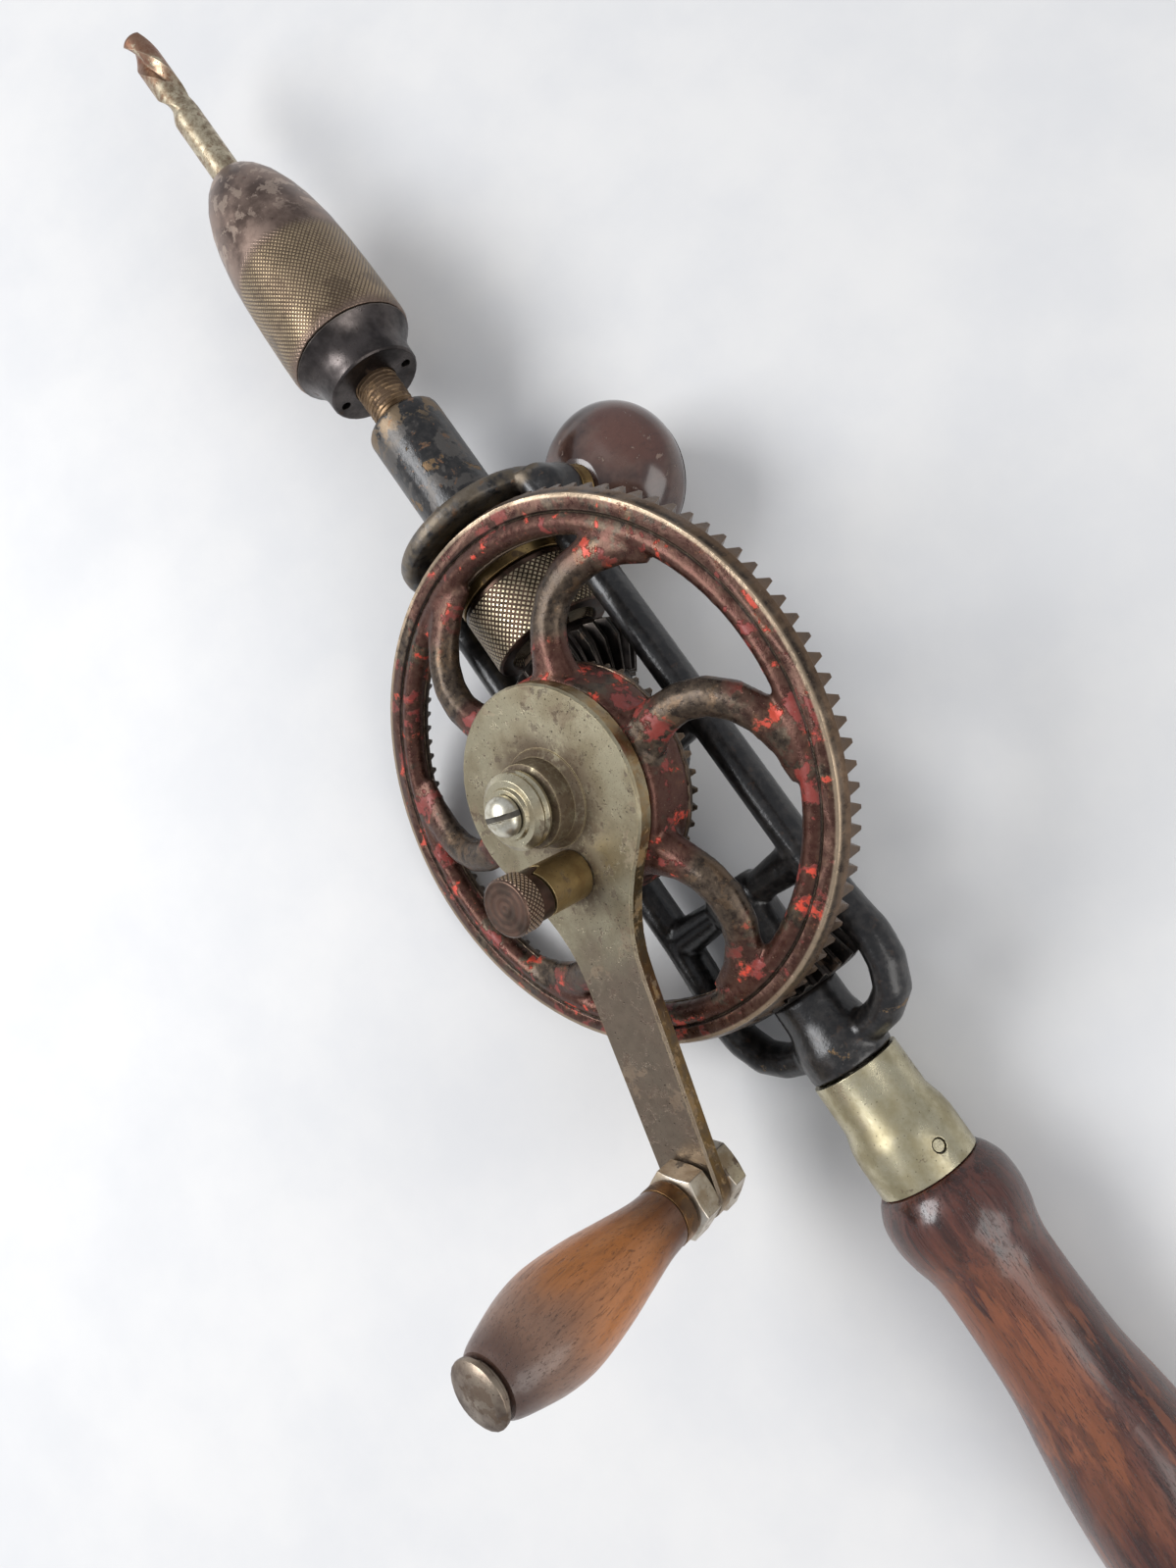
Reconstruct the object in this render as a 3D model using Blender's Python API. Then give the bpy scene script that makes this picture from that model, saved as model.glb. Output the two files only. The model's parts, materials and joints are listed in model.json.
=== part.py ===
"""A two-speed hand drill with a ratchet crank, built as separate pieces.

Lengths are in metres. The drill's own frame has its origin where the spindle axis
crosses the wheel axle: +X runs along the spindle to the chuck, +Z along the axle to
the crank, and +Y to the side away from the side knob. One empty, drill_axes, lays
that frame down in the attitude in which the drill rests on a table.
"""

from math import cos, pi, radians, sin, tan

import bmesh
import bpy
from mathutils import Matrix, Vector

# Clearances
RUN = 0.0003
PINION_RELIEF = 0.0010
OVERRUN = 0.0020

# Wheel gearing: the outer ring drives the fast pinion, the inner ring the slow one
OUTER_TEETH = 94
FAST_TEETH = 25
OUTER_MODULE = 0.00128
OUTER_FACE = 0.0080
INNER_TEETH = 40
SLOW_TEETH = 24
INNER_MODULE = 0.00120
INNER_FACE = 0.0080
SLOW_STRAIGHT = 0.0045
ADDENDUM_SHARE = 0.85
DEDENDUM_SHARE = 1.25
TOOTH_SHARE = 0.40
PRESSURE_ANGLE = radians(20)

# Wheel rim, hub and spokes
RIM_WEB = 0.0028
RIM_WIDTH = 0.0082
RIM_CHAMFER = 0.0022
RIM_LAND = 0.0030
RIM_GROOVE = 0.0006
RIM_CROWN = 0.0007
SPOKES = 6
SPOKE_HALF_WIDTH = 0.0041
SPOKE_HALF_DEPTH = 0.0036
SPOKE_ROOT_ANGLE = radians(36)
SPOKE_SWEEP = radians(25)
HUB_WALL = 0.0022
HUB_FLARE = 0.0012
RATCHET_DEPTH = 0.0044
HUB_SLEEVE_WALL = 0.0050

# Axle
AXLE_RADIUS = 0.0040
AXLE_HEAD_RADIUS = 0.0065
AXLE_HEAD = 0.0018
AXLE_SCREW_RADIUS = 0.0020
AXLE_SCREW_HEAD_RADIUS = 0.0042
AXLE_SCREW_DOME = 0.0034
AXLE_SCREW_DEPTH = 0.0085
AXLE_COLLAR_RADIUS = 0.0080
AXLE_COLLAR = 0.0050
AXLE_RING = 0.0008
AXLE_RING_RADIUS = 0.0054
SLOT_WIDTH = 0.0012
SLOT_DEPTH = 0.0013
SLOT_TURN = radians(69)

# Crank
CRANK_LENGTH = 0.0860
CRANK_ANGLE = radians(160.6)
CRANK_THICK = 0.0040
ARM_LEAVE = radians(52)
ARM_MEET_SHARE = 0.46
DISC_RADIUS = 0.0236
ARM_ROOT_HALF = 0.0082
ARM_END_HALF = 0.0070
CRANK_BOSS_RADIUS = 0.0090
CRANK_BOSS = 0.0060
EDGE_CHAMFER = 0.0005

# Ratchet and its selector
RATCHET_TEETH = 20
RATCHET_TOOTH_HEIGHT = 0.0018
RATCHET_SLOT_SHARE = 0.46
RATCHET_RING_INNER = 0.0115
PAWL_RADIUS = 0.0026
PAWL_PLACE = 0.0163
PAWL_BLADE = 0.0015
HOUSING_RADIUS = 0.0053
HOUSING_BORE = 0.0040
HOUSING_LENGTH = 0.0098
SELECTOR_TRAVEL = 0.0030
SELECTOR_TURN = radians(150)
CAM_DROP_SHARE = 0.04
SKIRT_LENGTH = 0.0026
SELECTOR_KNOB_RADIUS = 0.0060
SELECTOR_KNOB_LENGTH = 0.0046

# Crank grip
GRIP_BOLT_RADIUS = 0.0030
HEX_HALF_ACROSS = 0.0068
HEX_LAND_SHARE = 0.94
HEX_HEAD_TURN = radians(20)
HEX_NUT_TURN = radians(12)
HEX_NUT = 0.0060
HEX_HEAD = 0.0050
GRIP_COLLAR = 0.0040
GRIP_COLLAR_RADIUS = 0.0064
GRIP_COLLAR_FACE_SHARE = 0.9
GRIP_LENGTH = 0.0495
GRIP_RADIUS = 0.0107
GRIP_BUTTON = 0.0030
GRIP_BUTTON_RADIUS = 0.0065
BUTTON_NECK_SHARE = 0.84
BUTTON_FACE_SHARE = 0.8

# Frame casting
NECK_RADIUS = 0.0094
NECK_TOP = 0.0995
FLANGE_RADIUS = 0.0210
FLANGE_THICK = 0.0044
FLANGE_BACK_ANGLE = radians(22)
RAIL_OUT = 0.0210
SHOULDER_DROP = 0.0025
RAIL_HALF_WIDTH = 0.0038
RAIL_HALF_DEPTH = 0.0048
LOOP_OUT = 0.0230
LOOP_BOTTOM = -0.0735
SHOULDER_RADIUS = 0.0060
SHOULDER_DOME = 0.0040
SHOULDER_BACK = 0.0076
AXLE_BOSS_RADIUS = 0.0088
AXLE_BOSS_BACK = 0.0082
BRIDGE_HALF_SHARE = 0.62
BRIDGE_DEPTH_SHARE = 0.95
TAIL_BOSS_RADIUS = 0.0078
TAIL_BOSS_START = 0.0035
TAIL_BOSS_END = 0.0140
CROSSBAR_PLACE = -0.0380
CROSSBAR_HALF = 0.0036
IDLER_BOSS_RADIUS = 0.0072
IDLER_BOSS_TOP = -0.0335
IDLER_CROWN_SHARE = 0.24
IDLER_CAP_SHARE = 0.80
FRAME_END = -0.0790
FRAME_END_RADIUS = 0.0097
FRAME_WAIST_SHARE = 0.82

# Spindle and gear train
SPINDLE_RADIUS = 0.0050
THREAD_RADIUS = 0.0052
THREAD_SHARE = 0.55
SPINDLE_TAIL_RADIUS = 0.0040
SPINDLE_TAIL = 0.0068
IDLER_PIN_RADIUS = 0.0035
SHIFTER_RADIUS = 0.0146
SHIFTER_LENGTH = 0.0150
SHIFT_KEY_RADIUS = 0.0013
SHIFT_KEY_HALF_LENGTH = 0.0088
CLUTCH_NOSE = 0.0020
CLUTCH_BASE_RADIUS = 0.0110
CLUTCH_TIP_RADIUS = 0.0098
CLUTCH_RING = 0.0028
WASHER_THICK = 0.0012
WASHER_SHARE = 0.80
PINION_BACK_SHARE = 0.97
PINION_FRONT_SHARE = 0.95
SLOW_FRONT_SHARE = 0.90

# Chuck and bit
THREAD_SHOWING = 0.0117
CHUCK_COLLAR = 0.0105
CHUCK_SHELL = 0.0563
CHUCK_RADIUS = 0.0158
CHUCK_NOSE_RADIUS = 0.0070
CHUCK_COLLAR_RADIUS = 0.0117
CHUCK_WALL = 0.0030
CORE_ROOM = 0.0040
SPANNER_HOLE_RADIUS = 0.0012
SPANNER_HOLE_TURN = radians(40)
JAW_SET_BACK = 0.0045
JAW_LENGTH = 0.0270
JAW_ROOM = 0.0025
JAW_CONE_REAR_RADIUS = 0.0118
JAW_TRAVEL = 0.0050
JAW_HALF_ANGLE = radians(38)
BIT_RADIUS = 0.0038
BIT_REACH = 0.0535
BIT_FLUTE_LENGTH = 0.0300
BIT_FLUTE_PITCH = 0.0400
BIT_SEAT = 0.0035
BIT_POINT_SHARE = 0.75
BIT_CHISEL_SHARE = 0.16
FLUTE_DEPTH_SHARE = 0.62
FLUTE_ROUNDING = 0.8

# Main handle
FERRULE_RADIUS = 0.0114
FERRULE_END = -0.1046
FERRULE_WALL = 0.0012
HANDLE_END = -0.2120
HANDLE_RADIUS = 0.0165
TANG_RADIUS = 0.0040
TANG_END = -0.1500
FERRULE_PIN_RADIUS = 0.0013
FERRULE_PIN_SHARE = 0.80
FERRULE_PIN_TURN = radians(62)

# Side knob
KNOB_RADIUS = 0.0187
KNOB_DEPTH = 0.0262
KNOB_FERRULE_RADIUS = 0.0053
KNOB_FERRULE = 0.0038
KNOB_STUD_RADIUS = 0.0025
KNOB_STUD_GRIP = 0.0040
KNOB_STUD_SHARE = 0.6
KNOB_WAIST_SHARE = 0.86

# Attitude on the table: what the drill lies on, and about which way is up
RESTS_ON = ("gear_wheel", "side_knob", "main_handle")
REST_UP_SHARES = (0.04, -0.65, 0.76)
REST_STEPS = 12

# Sides of the round pieces, and of the cutters that meet them
FINE = 32
ROUND = 24
SMALL = 12
CUTTER_SIDES = 29
HELPER_TURN = radians(2.3)

# Finish: colour, roughness, metallic
FINISHES = {
    "japanned_iron": ((0.045, 0.042, 0.040), 0.45, 0.3),
    "worn_iron": ((0.150, 0.115, 0.090), 0.55, 0.8),
    "nickel": ((0.450, 0.420, 0.350), 0.40, 1.0),
    "bright_steel": ((0.620, 0.600, 0.540), 0.35, 1.0),
    "dark_steel": ((0.120, 0.100, 0.090), 0.45, 0.9),
    "brass": ((0.480, 0.340, 0.150), 0.40, 1.0),
    "red_wood": ((0.140, 0.045, 0.025), 0.35, 0.0),
    "orange_wood": ((0.330, 0.150, 0.060), 0.45, 0.0),
    "plum_wood": ((0.110, 0.070, 0.070), 0.25, 0.0),
}


# Sizes that follow from the ones above
def bevel_sizes(module, teeth, mate_teeth):
    """Pitch, tip and root points (radius, distance from the apex along the axis)."""
    pitch = Vector((module * teeth / 2, module * mate_teeth / 2))
    outward = Vector((pitch.y, -pitch.x)).normalized()
    tip = pitch + outward * module * ADDENDUM_SHARE
    root = pitch - outward * module * DEDENDUM_SHARE
    return pitch, tip, root


OUTER_PITCH, OUTER_TIP, OUTER_ROOT = bevel_sizes(OUTER_MODULE, OUTER_TEETH, FAST_TEETH)
FAST_PITCH, FAST_TIP, FAST_ROOT = bevel_sizes(OUTER_MODULE, FAST_TEETH, OUTER_TEETH)
INNER_PITCH, INNER_TIP, INNER_ROOT = bevel_sizes(INNER_MODULE, INNER_TEETH, SLOW_TEETH)
SLOW_PITCH, SLOW_TIP, SLOW_ROOT = bevel_sizes(INNER_MODULE, SLOW_TEETH, INNER_TEETH)
OUTER_SMALL_END = 1 - OUTER_FACE / OUTER_PITCH.length
INNER_SMALL_END = 1 - INNER_FACE / INNER_PITCH.length

RIM_FRONT = OUTER_ROOT.y + RIM_WEB
RIM_RADIUS = OUTER_TIP.x + RIM_GROOVE - RIM_CHAMFER
HUB_RADIUS = INNER_TIP.x + HUB_WALL / 4
RECESS_RADIUS = HUB_RADIUS - HUB_FLARE - HUB_WALL
HUB_FRONT = RIM_FRONT + RIM_WEB + RATCHET_DEPTH
RECESS_FLOOR = HUB_FRONT - RATCHET_DEPTH
SLEEVE_RADIUS = AXLE_RADIUS + RUN + HUB_SLEEVE_WALL
AXLE_BOSS_FRONT = INNER_TIP.y * INNER_SMALL_END - 3 * RUN
HUB_BACK = AXLE_BOSS_FRONT + RUN

CRANK_BACK = HUB_FRONT + RUN
CRANK_FRONT = CRANK_BACK + CRANK_THICK
CRANK_BOSS_TOP = CRANK_FRONT + CRANK_BOSS
AXLE_TOP = CRANK_BOSS_TOP + RUN
COLLAR_TOP = AXLE_TOP + RUN + AXLE_COLLAR
COLLAR_FACE = COLLAR_TOP - AXLE_RING

HOUSING_BASE = CRANK_FRONT + RUN
HOUSING_TOP = HOUSING_BASE + HOUSING_LENGTH
SKIRT_TOP = HOUSING_TOP + SELECTOR_TRAVEL + SKIRT_LENGTH
SELECTOR_TOP = SKIRT_TOP + SELECTOR_KNOB_LENGTH
RATCHET_TOP = RECESS_FLOOR + RUN + RATCHET_DEPTH - RATCHET_TOOTH_HEIGHT
PAWL_SHOULDER = RATCHET_TOP + RUN
PAWL_TIP = PAWL_SHOULDER - RATCHET_TOOTH_HEIGHT

NUT_BASE = CRANK_FRONT + RUN
GRIP_COLLAR_BASE = NUT_BASE + HEX_NUT + RUN
GRIP_BASE = GRIP_COLLAR_BASE + GRIP_COLLAR + RUN
GRIP_TOP = GRIP_BASE + GRIP_LENGTH
BUTTON_TOP = GRIP_TOP + RUN + GRIP_BUTTON

FAST_BACK = FAST_ROOT.y + RUN
FLANGE_BOTTOM = FAST_BACK + RUN + WASHER_THICK + RUN
FLANGE_TOP = FLANGE_BOTTOM + FLANGE_THICK
FAST_FRONT = FAST_TIP.y * OUTER_SMALL_END
SLOW_BACK = SLOW_ROOT.y + SLOW_STRAIGHT + EDGE_CHAMFER
SLOW_HUB_END = SLOW_BACK + EDGE_CHAMFER
SHIFTER_TOP = FAST_FRONT - RUN - CLUTCH_RING - RUN
SHIFTER_BOTTOM = SHIFTER_TOP - SHIFTER_LENGTH
SHIFT_TRAVEL = SHIFTER_BOTTOM - SLOW_HUB_END - RUN
SHIFT_KEY_PLACE = (SHIFTER_TOP + SHIFTER_BOTTOM - SHIFT_TRAVEL) / 2
IDLER_FRONT = -FAST_FRONT
IDLER_BACK = -FAST_BACK
IDLER_BOSS_END = IDLER_FRONT + RUN
FRAME_LAND = IDLER_BACK - RUN

SHOULDER_PLACE = FLANGE_TOP - SHOULDER_RADIUS - SHOULDER_DROP
CHUCK_REAR = NECK_TOP + THREAD_SHOWING
CHUCK_SHELL_REAR = CHUCK_REAR + CHUCK_COLLAR
CHUCK_NOSE = CHUCK_SHELL_REAR + CHUCK_SHELL
JAW_FRONT = CHUCK_NOSE - JAW_SET_BACK
JAW_REAR = JAW_FRONT - JAW_LENGTH
JAW_CONE_REAR = JAW_REAR - JAW_ROOM
CHUCK_CORE_FRONT = JAW_CONE_REAR - CORE_ROOM
THREAD_END = CHUCK_REAR + (CHUCK_CORE_FRONT - CHUCK_REAR) * THREAD_SHARE
BIT_TIP = CHUCK_NOSE + BIT_REACH
BIT_REAR = JAW_REAR - BIT_SEAT
KNOB_SIDE = -RAIL_OUT
KNOB_STUD_TOP = KNOB_STUD_GRIP - SHOULDER_BACK
KNOB_FERRULE_FRONT = -SHOULDER_BACK - RUN
KNOB_FRONT = KNOB_FERRULE_FRONT - KNOB_FERRULE - RUN
KNOB_BACK = KNOB_FRONT - KNOB_DEPTH


# Mesh tools
def material(name, finish):
    colour, roughness, metallic = FINISHES[finish]
    made = bpy.data.materials.new(name + "_" + finish)
    made.use_nodes = True
    shader = made.node_tree.nodes["Principled BSDF"]
    shader.inputs["Base Color"].default_value = (*colour, 1)
    shader.inputs["Roughness"].default_value = roughness
    shader.inputs["Metallic"].default_value = metallic
    made.diffuse_color = (*colour, 1)
    return made


def mesh_object(name, points, faces, finish=None):
    """A closed mesh object with its faces turned outward, shaded smooth between edges."""
    shape = bmesh.new()
    verts = [shape.verts.new(point) for point in points]
    for face in faces:
        shape.faces.new([verts[index] for index in face])
    bmesh.ops.recalc_face_normals(shape, faces=shape.faces)
    mesh = bpy.data.meshes.new(name)
    shape.to_mesh(mesh)
    shape.free()
    mesh.shade_smooth()
    mesh.set_sharp_from_angle(angle=radians(35))
    obj = bpy.data.objects.new(name, mesh)
    bpy.context.scene.collection.objects.link(obj)
    if finish:
        obj.data.materials.append(material(name, finish))
    return obj


def helper(obj):
    """Marks a cutter or a shape that is joined into another piece."""
    obj.hide_render = True
    obj.display_type = "WIRE"
    return obj


def combine(obj, other, operation):
    modifier = obj.modifiers.new(other.name, "BOOLEAN")
    modifier.operation = operation
    modifier.solver = "MANIFOLD" if obj.name == "frame" else "EXACT"
    modifier.object = helper(other)


def join(obj, *others):
    for other in others:
        combine(obj, other, "UNION")


def cut(obj, *others):
    for other in others:
        combine(obj, other, "DIFFERENCE")


def rings_to_faces(rings, closed_path):
    """Quads between rings of equal count, and triangles where a ring is one point."""
    faces = []
    pairs = list(zip(rings, rings[1:]))
    if closed_path:
        pairs.append((rings[-1], rings[0]))
    for low, high in pairs:
        count = max(len(low), len(high))
        for step in range(count):
            after = (step + 1) % count
            if len(low) == 1:
                faces.append((low[0], high[step], high[after]))
            elif len(high) == 1:
                faces.append((low[step], high[0], low[after]))
            else:
                faces.append((low[step], high[step], high[after], low[after]))
    return faces


def lathe(name, profile, finish=None, sides=ROUND):
    """Turns a profile of (radius, height) about Z. It runs from axis to axis, or closes.

    A shape without a finish is joined or cut, and is turned a little so that its edges
    do not fall on those of the piece it meets.
    """
    points = []
    rings = []
    turn = 0 if finish else HELPER_TURN
    for radius, height in profile:
        ring = []
        for step in range(sides if radius > 0 else 1):
            angle = 2 * pi * step / sides + turn
            ring.append(len(points))
            points.append((radius * cos(angle), radius * sin(angle), height))
        rings.append(ring)
    on_axis = profile[0][0] == 0
    return mesh_object(name, points, rings_to_faces(rings, not on_axis), finish)


def tube_profile(inner, outer, low, high, chamfer=0):
    profile = [(inner, low), (outer - chamfer, low)]
    if chamfer:
        profile.append((outer, low + chamfer))
        profile.append((outer, high - chamfer))
    profile.append((outer - chamfer, high))
    profile.append((inner, high))
    return profile


def rod_profile(radius, low, high, chamfer=0):
    profile = [(0, low)] + tube_profile(0, radius, low, high, chamfer)[1:-1]
    return profile + [(0, high)]


def inset(outline, amount):
    """The outline with each point moved inward along its own normal."""
    count = len(outline)
    moved = []
    for step, (x, y) in enumerate(outline):
        before = Vector(outline[step - 1])
        after = Vector(outline[(step + 1) % count])
        along = (after - before).normalized()
        moved.append((x - along.y * amount, y + along.x * amount))
    return moved


def prism(name, outline, low, high, finish=None, chamfer=0):
    """A flat plate with an anticlockwise outline, with chamfered edges if asked."""
    levels = [(outline, low), (outline, high)]
    if chamfer:
        small = inset(outline, chamfer)
        levels = [(small, low), (outline, low + chamfer), (outline, high - chamfer), (small, high)]
    points = []
    rings = []
    for loop, height in levels:
        rings.append(range(len(points), len(points) + len(loop)))
        points += [(x, y, height) for x, y in loop]
    faces = rings_to_faces(rings, False)
    faces.append(tuple(rings[0]))
    faces.append(tuple(rings[-1]))
    return mesh_object(name, points, faces, finish)


def arc(centre, radius, start, end, steps):
    made = []
    for step in range(steps + 1):
        angle = start + (end - start) * step / steps
        made.append((centre[0] + radius * cos(angle), centre[1] + radius * sin(angle)))
    return made


def sweep(name, path, half_sizes, up, sides=12, finish=None):
    """A bar of oval section along a path. half_sizes are (across, along up) at each point."""
    path = [Vector(point) for point in path]
    up = Vector(up)
    points = []
    rings = []
    for step, centre in enumerate(path):
        before = path[max(step - 1, 0)]
        after = path[min(step + 1, len(path) - 1)]
        along = (after - before).normalized()
        across = along.cross(up).normalized()
        rise = across.cross(along)
        wide, deep = half_sizes[step]
        ring = []
        for side in range(sides):
            angle = 2 * pi * (side + 0.5) / sides
            ring.append(len(points))
            points.append(centre + across * wide * cos(angle) + rise * deep * sin(angle))
        rings.append(ring)
    faces = rings_to_faces(rings, False)
    faces.append(tuple(rings[0]))
    faces.append(tuple(rings[-1]))
    return mesh_object(name, points, faces, finish)


def box(name, low, high, finish=None):
    outline = [(low[0], low[1]), (high[0], low[1]), (high[0], high[1]), (low[0], high[1])]
    return prism(name, outline, low[2], high[2], finish)


def toothed(name, teeth, sizes, module, small_end, profile, finish=None, phase=0, straight=0):
    """A bevel gear about Z with its apex at the origin, as one closed mesh.

    profile lists the (radius, height) rings that lead from the teeth's large end round
    the back of the gear to their small end. phase is the angle of one tooth's middle,
    and straight the length by which the teeth run on behind their large end.
    """
    pitch, tip, root = sizes
    half = pi * module * TOOTH_SHARE / 2
    tip_half = (half - module * ADDENDUM_SHARE * tan(PRESSURE_ANGLE)) / tip.x
    root_half = (half + module * DEDENDUM_SHARE * tan(PRESSURE_ANGLE)) / root.x
    points = []

    def tooth_loop(scale, beyond=0):
        loop = []
        for tooth in range(teeth):
            middle = phase + 2 * pi * tooth / teeth
            for point, turn in ((root, -root_half), (tip, -tip_half), (tip, tip_half), (root, root_half)):
                angle = middle + turn
                loop.append(len(points))
                radius = scale * point.x
                points.append((radius * cos(angle), radius * sin(angle), scale * point.y + beyond))
        return loop

    def plain_ring(radius, height):
        ring = []
        for tooth in range(teeth):
            angle = phase + 2 * pi * (tooth - 0.5) / teeth
            ring.append(len(points))
            points.append((radius * cos(angle), radius * sin(angle), height))
        return ring

    def end_faces(loop, ring):
        faces = []
        for tooth in range(teeth):
            first = 4 * tooth
            after = (tooth + 1) % teeth
            a, b, c, d = loop[first:first + 4]
            faces.append((ring[tooth], a, d, ring[after]))
            faces.append((a, b, c, d))
            faces.append((d, loop[4 * after], ring[after]))
        return faces

    large = tooth_loop(1)
    small = tooth_loop(small_end)
    rings = [plain_ring(radius, height) for radius, height in profile]
    faces = rings_to_faces([small, large], False)
    back = large
    if straight:
        back = tooth_loop(1, straight)
        faces += rings_to_faces([large, back], False)
    faces += end_faces(back, rings[0])
    faces += rings_to_faces(rings, False)
    faces += end_faces(small, rings[-1])
    return mesh_object(name, points, faces, finish)


def place(obj, parent, location=(0, 0, 0), rotation=(0, 0, 0)):
    obj.parent = parent
    obj.location = location
    obj.rotation_euler = rotation
    return obj


def empty(name, parent=None, location=(0, 0, 0), rotation=(0, 0, 0)):
    made = bpy.data.objects.new(name, None)
    made.empty_display_size = RIM_RADIUS / 10
    bpy.context.scene.collection.objects.link(made)
    return place(made, parent, location, rotation)


# The wheel: rim with its outer teeth, curved spokes, hub with its inner teeth
def rim_profile():
    """From the large end of the outer teeth round the front to their small end."""
    inner = RIM_RADIUS - RIM_WIDTH
    land = RIM_RADIUS - RIM_LAND
    groove = land - RIM_GROOVE
    band = groove - RIM_GROOVE
    root = OUTER_ROOT * OUTER_SMALL_END
    return [
        (OUTER_ROOT.x + RIM_GROOVE / 4, OUTER_ROOT.y + RIM_GROOVE / 2),
        (RIM_RADIUS, RIM_FRONT),
        (land, RIM_FRONT),
        (groove, RIM_FRONT - RIM_GROOVE),
        (band, RIM_FRONT),
        (band - RIM_CROWN * 2, RIM_FRONT + RIM_CROWN),
        (inner + RIM_CROWN * 2, RIM_FRONT + RIM_CROWN / 2),
        (inner, RIM_FRONT - RIM_CROWN * 2),
        (inner, root.y + RIM_GROOVE),
    ]


def hub_profile():
    """From the large end of the inner teeth round the front, through the bore, to the back."""
    root = INNER_ROOT * INNER_SMALL_END
    bore = AXLE_RADIUS + RUN
    return [
        (HUB_RADIUS, INNER_ROOT.y + HUB_WALL / 4),
        (HUB_RADIUS - HUB_FLARE / 4, RIM_FRONT),
        (HUB_RADIUS - HUB_FLARE, HUB_FRONT - EDGE_CHAMFER),
        (HUB_RADIUS - HUB_FLARE - EDGE_CHAMFER, HUB_FRONT),
        (RECESS_RADIUS, HUB_FRONT),
        (RECESS_RADIUS, RECESS_FLOOR),
        (SLEEVE_RADIUS, RECESS_FLOOR),
        (SLEEVE_RADIUS, HUB_FRONT),
        (bore, HUB_FRONT),
        (bore, HUB_BACK),
        (root.x - HUB_WALL, HUB_BACK),
    ]


# Along a spoke: share of the way out, share of the sweep, width, depth and height shares
SPOKE_SHARES = [
    (0.00, 0.00, 1.50, 1.05, 1.00),
    (0.10, -0.05, 1.25, 1.05, 0.99),
    (0.22, -0.09, 1.06, 1.02, 0.94),
    (0.38, -0.07, 1.00, 1.00, 0.84),
    (0.54, 0.04, 1.00, 0.98, 0.67),
    (0.68, 0.22, 1.00, 0.94, 0.48),
    (0.80, 0.45, 1.02, 0.86, 0.28),
    (0.91, 0.72, 1.12, 0.74, 0.10),
    (1.00, 1.00, 1.25, 0.55, 0.00),
]
SPOKE_END_SHARE = 0.68


def spoke(name, turn):
    """One curved spoke, from inside the hub's wall to inside the rim."""
    start = (RECESS_RADIUS + HUB_RADIUS - HUB_FLARE) / 2
    end = RIM_RADIUS - RIM_WIDTH * SPOKE_END_SHARE
    low = (RIM_FRONT + OUTER_ROOT.y * OUTER_SMALL_END) / 2 + RIM_GROOVE / 2
    high = HUB_FRONT - SPOKE_HALF_DEPTH - RIM_CROWN
    path = []
    halves = []
    for out, swept, wide, deep, rise in SPOKE_SHARES:
        radius = start + (end - start) * out
        angle = -(SPOKE_ROOT_ANGLE + SPOKE_SWEEP * swept) - turn
        path.append((radius * cos(angle), radius * sin(angle), low + (high - low) * rise))
        halves.append((SPOKE_HALF_WIDTH * wide, SPOKE_HALF_DEPTH * deep))
    return sweep(name, path, halves, (0, 0, 1), 8)


def make_gear_wheel(axes):
    outer = (OUTER_PITCH, OUTER_TIP, OUTER_ROOT)
    inner = (INNER_PITCH, INNER_TIP, INNER_ROOT)
    wheel = toothed(
        "gear_wheel", OUTER_TEETH, outer, OUTER_MODULE, OUTER_SMALL_END, rim_profile(),
        "worn_iron", pi / OUTER_TEETH,
    )
    hub = toothed(
        "wheel_hub_shape", INNER_TEETH, inner, INNER_MODULE, INNER_SMALL_END, hub_profile(),
        None, pi / INNER_TEETH,
    )
    place(wheel, axes)
    place(hub, axes)
    for index in range(SPOKES):
        arm = spoke(f"wheel_spoke_shape_{index + 1}", 2 * pi * index / SPOKES)
        join(wheel, place(arm, axes))
    join(wheel, hub)
    return wheel


def make_ratchet_ring(axes):
    """The ring of face teeth let into the hub, in which the pawl drops."""
    inner = RATCHET_RING_INNER
    outer = RECESS_RADIUS - RUN
    low = RECESS_FLOOR + RUN
    high = RATCHET_TOP
    floor = high - RATCHET_TOOTH_HEIGHT
    pitch = 2 * pi / RATCHET_TEETH
    slot = pitch * RATCHET_SLOT_SHARE / 2
    points = []
    rings = [[], [], [], []]
    for tooth in range(RATCHET_TEETH):
        for turn, height in ((-slot, high), (-slot, floor), (slot, floor), (slot, high)):
            angle = pitch * tooth + turn
            for ring, radius, level in zip(
                rings, (inner, outer, outer, inner), (height, height, low, low)
            ):
                ring.append(len(points))
                points.append((radius * cos(angle), radius * sin(angle), level))
    faces = rings_to_faces(rings[:2], False)
    faces += stepped_wall(rings[1], rings[2])
    faces += stepped_wall(rings[3], rings[0])
    faces += stepped_wall(rings[2], rings[3])
    points, faces = weld(points, faces)
    ring = mesh_object("ratchet_ring", points, faces, "dark_steel")
    return place(ring, axes, rotation=(0, 0, CRANK_ANGLE))


def stepped_wall(upper, lower):
    """Wall faces between a stepped edge and the plain edge under or over it."""
    faces = []
    count = len(upper)
    for step in range(count):
        after = (step + 1) % count
        faces.append((upper[step], upper[after], lower[after], lower[step]))
    return faces


def weld(points, faces):
    """Joins points in one place, and drops the faces that this leaves with no area."""
    seen = {}
    index = []
    kept = []
    for point in points:
        key = tuple(round(value * 1e7) for value in point)
        if key not in seen:
            seen[key] = len(kept)
            kept.append(point)
        index.append(seen[key])
    made = []
    for face in faces:
        welded = []
        for corner in face:
            if index[corner] not in welded:
                welded.append(index[corner])
        if len(welded) > 2:
            made.append(tuple(welded))
    return kept, made


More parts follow.
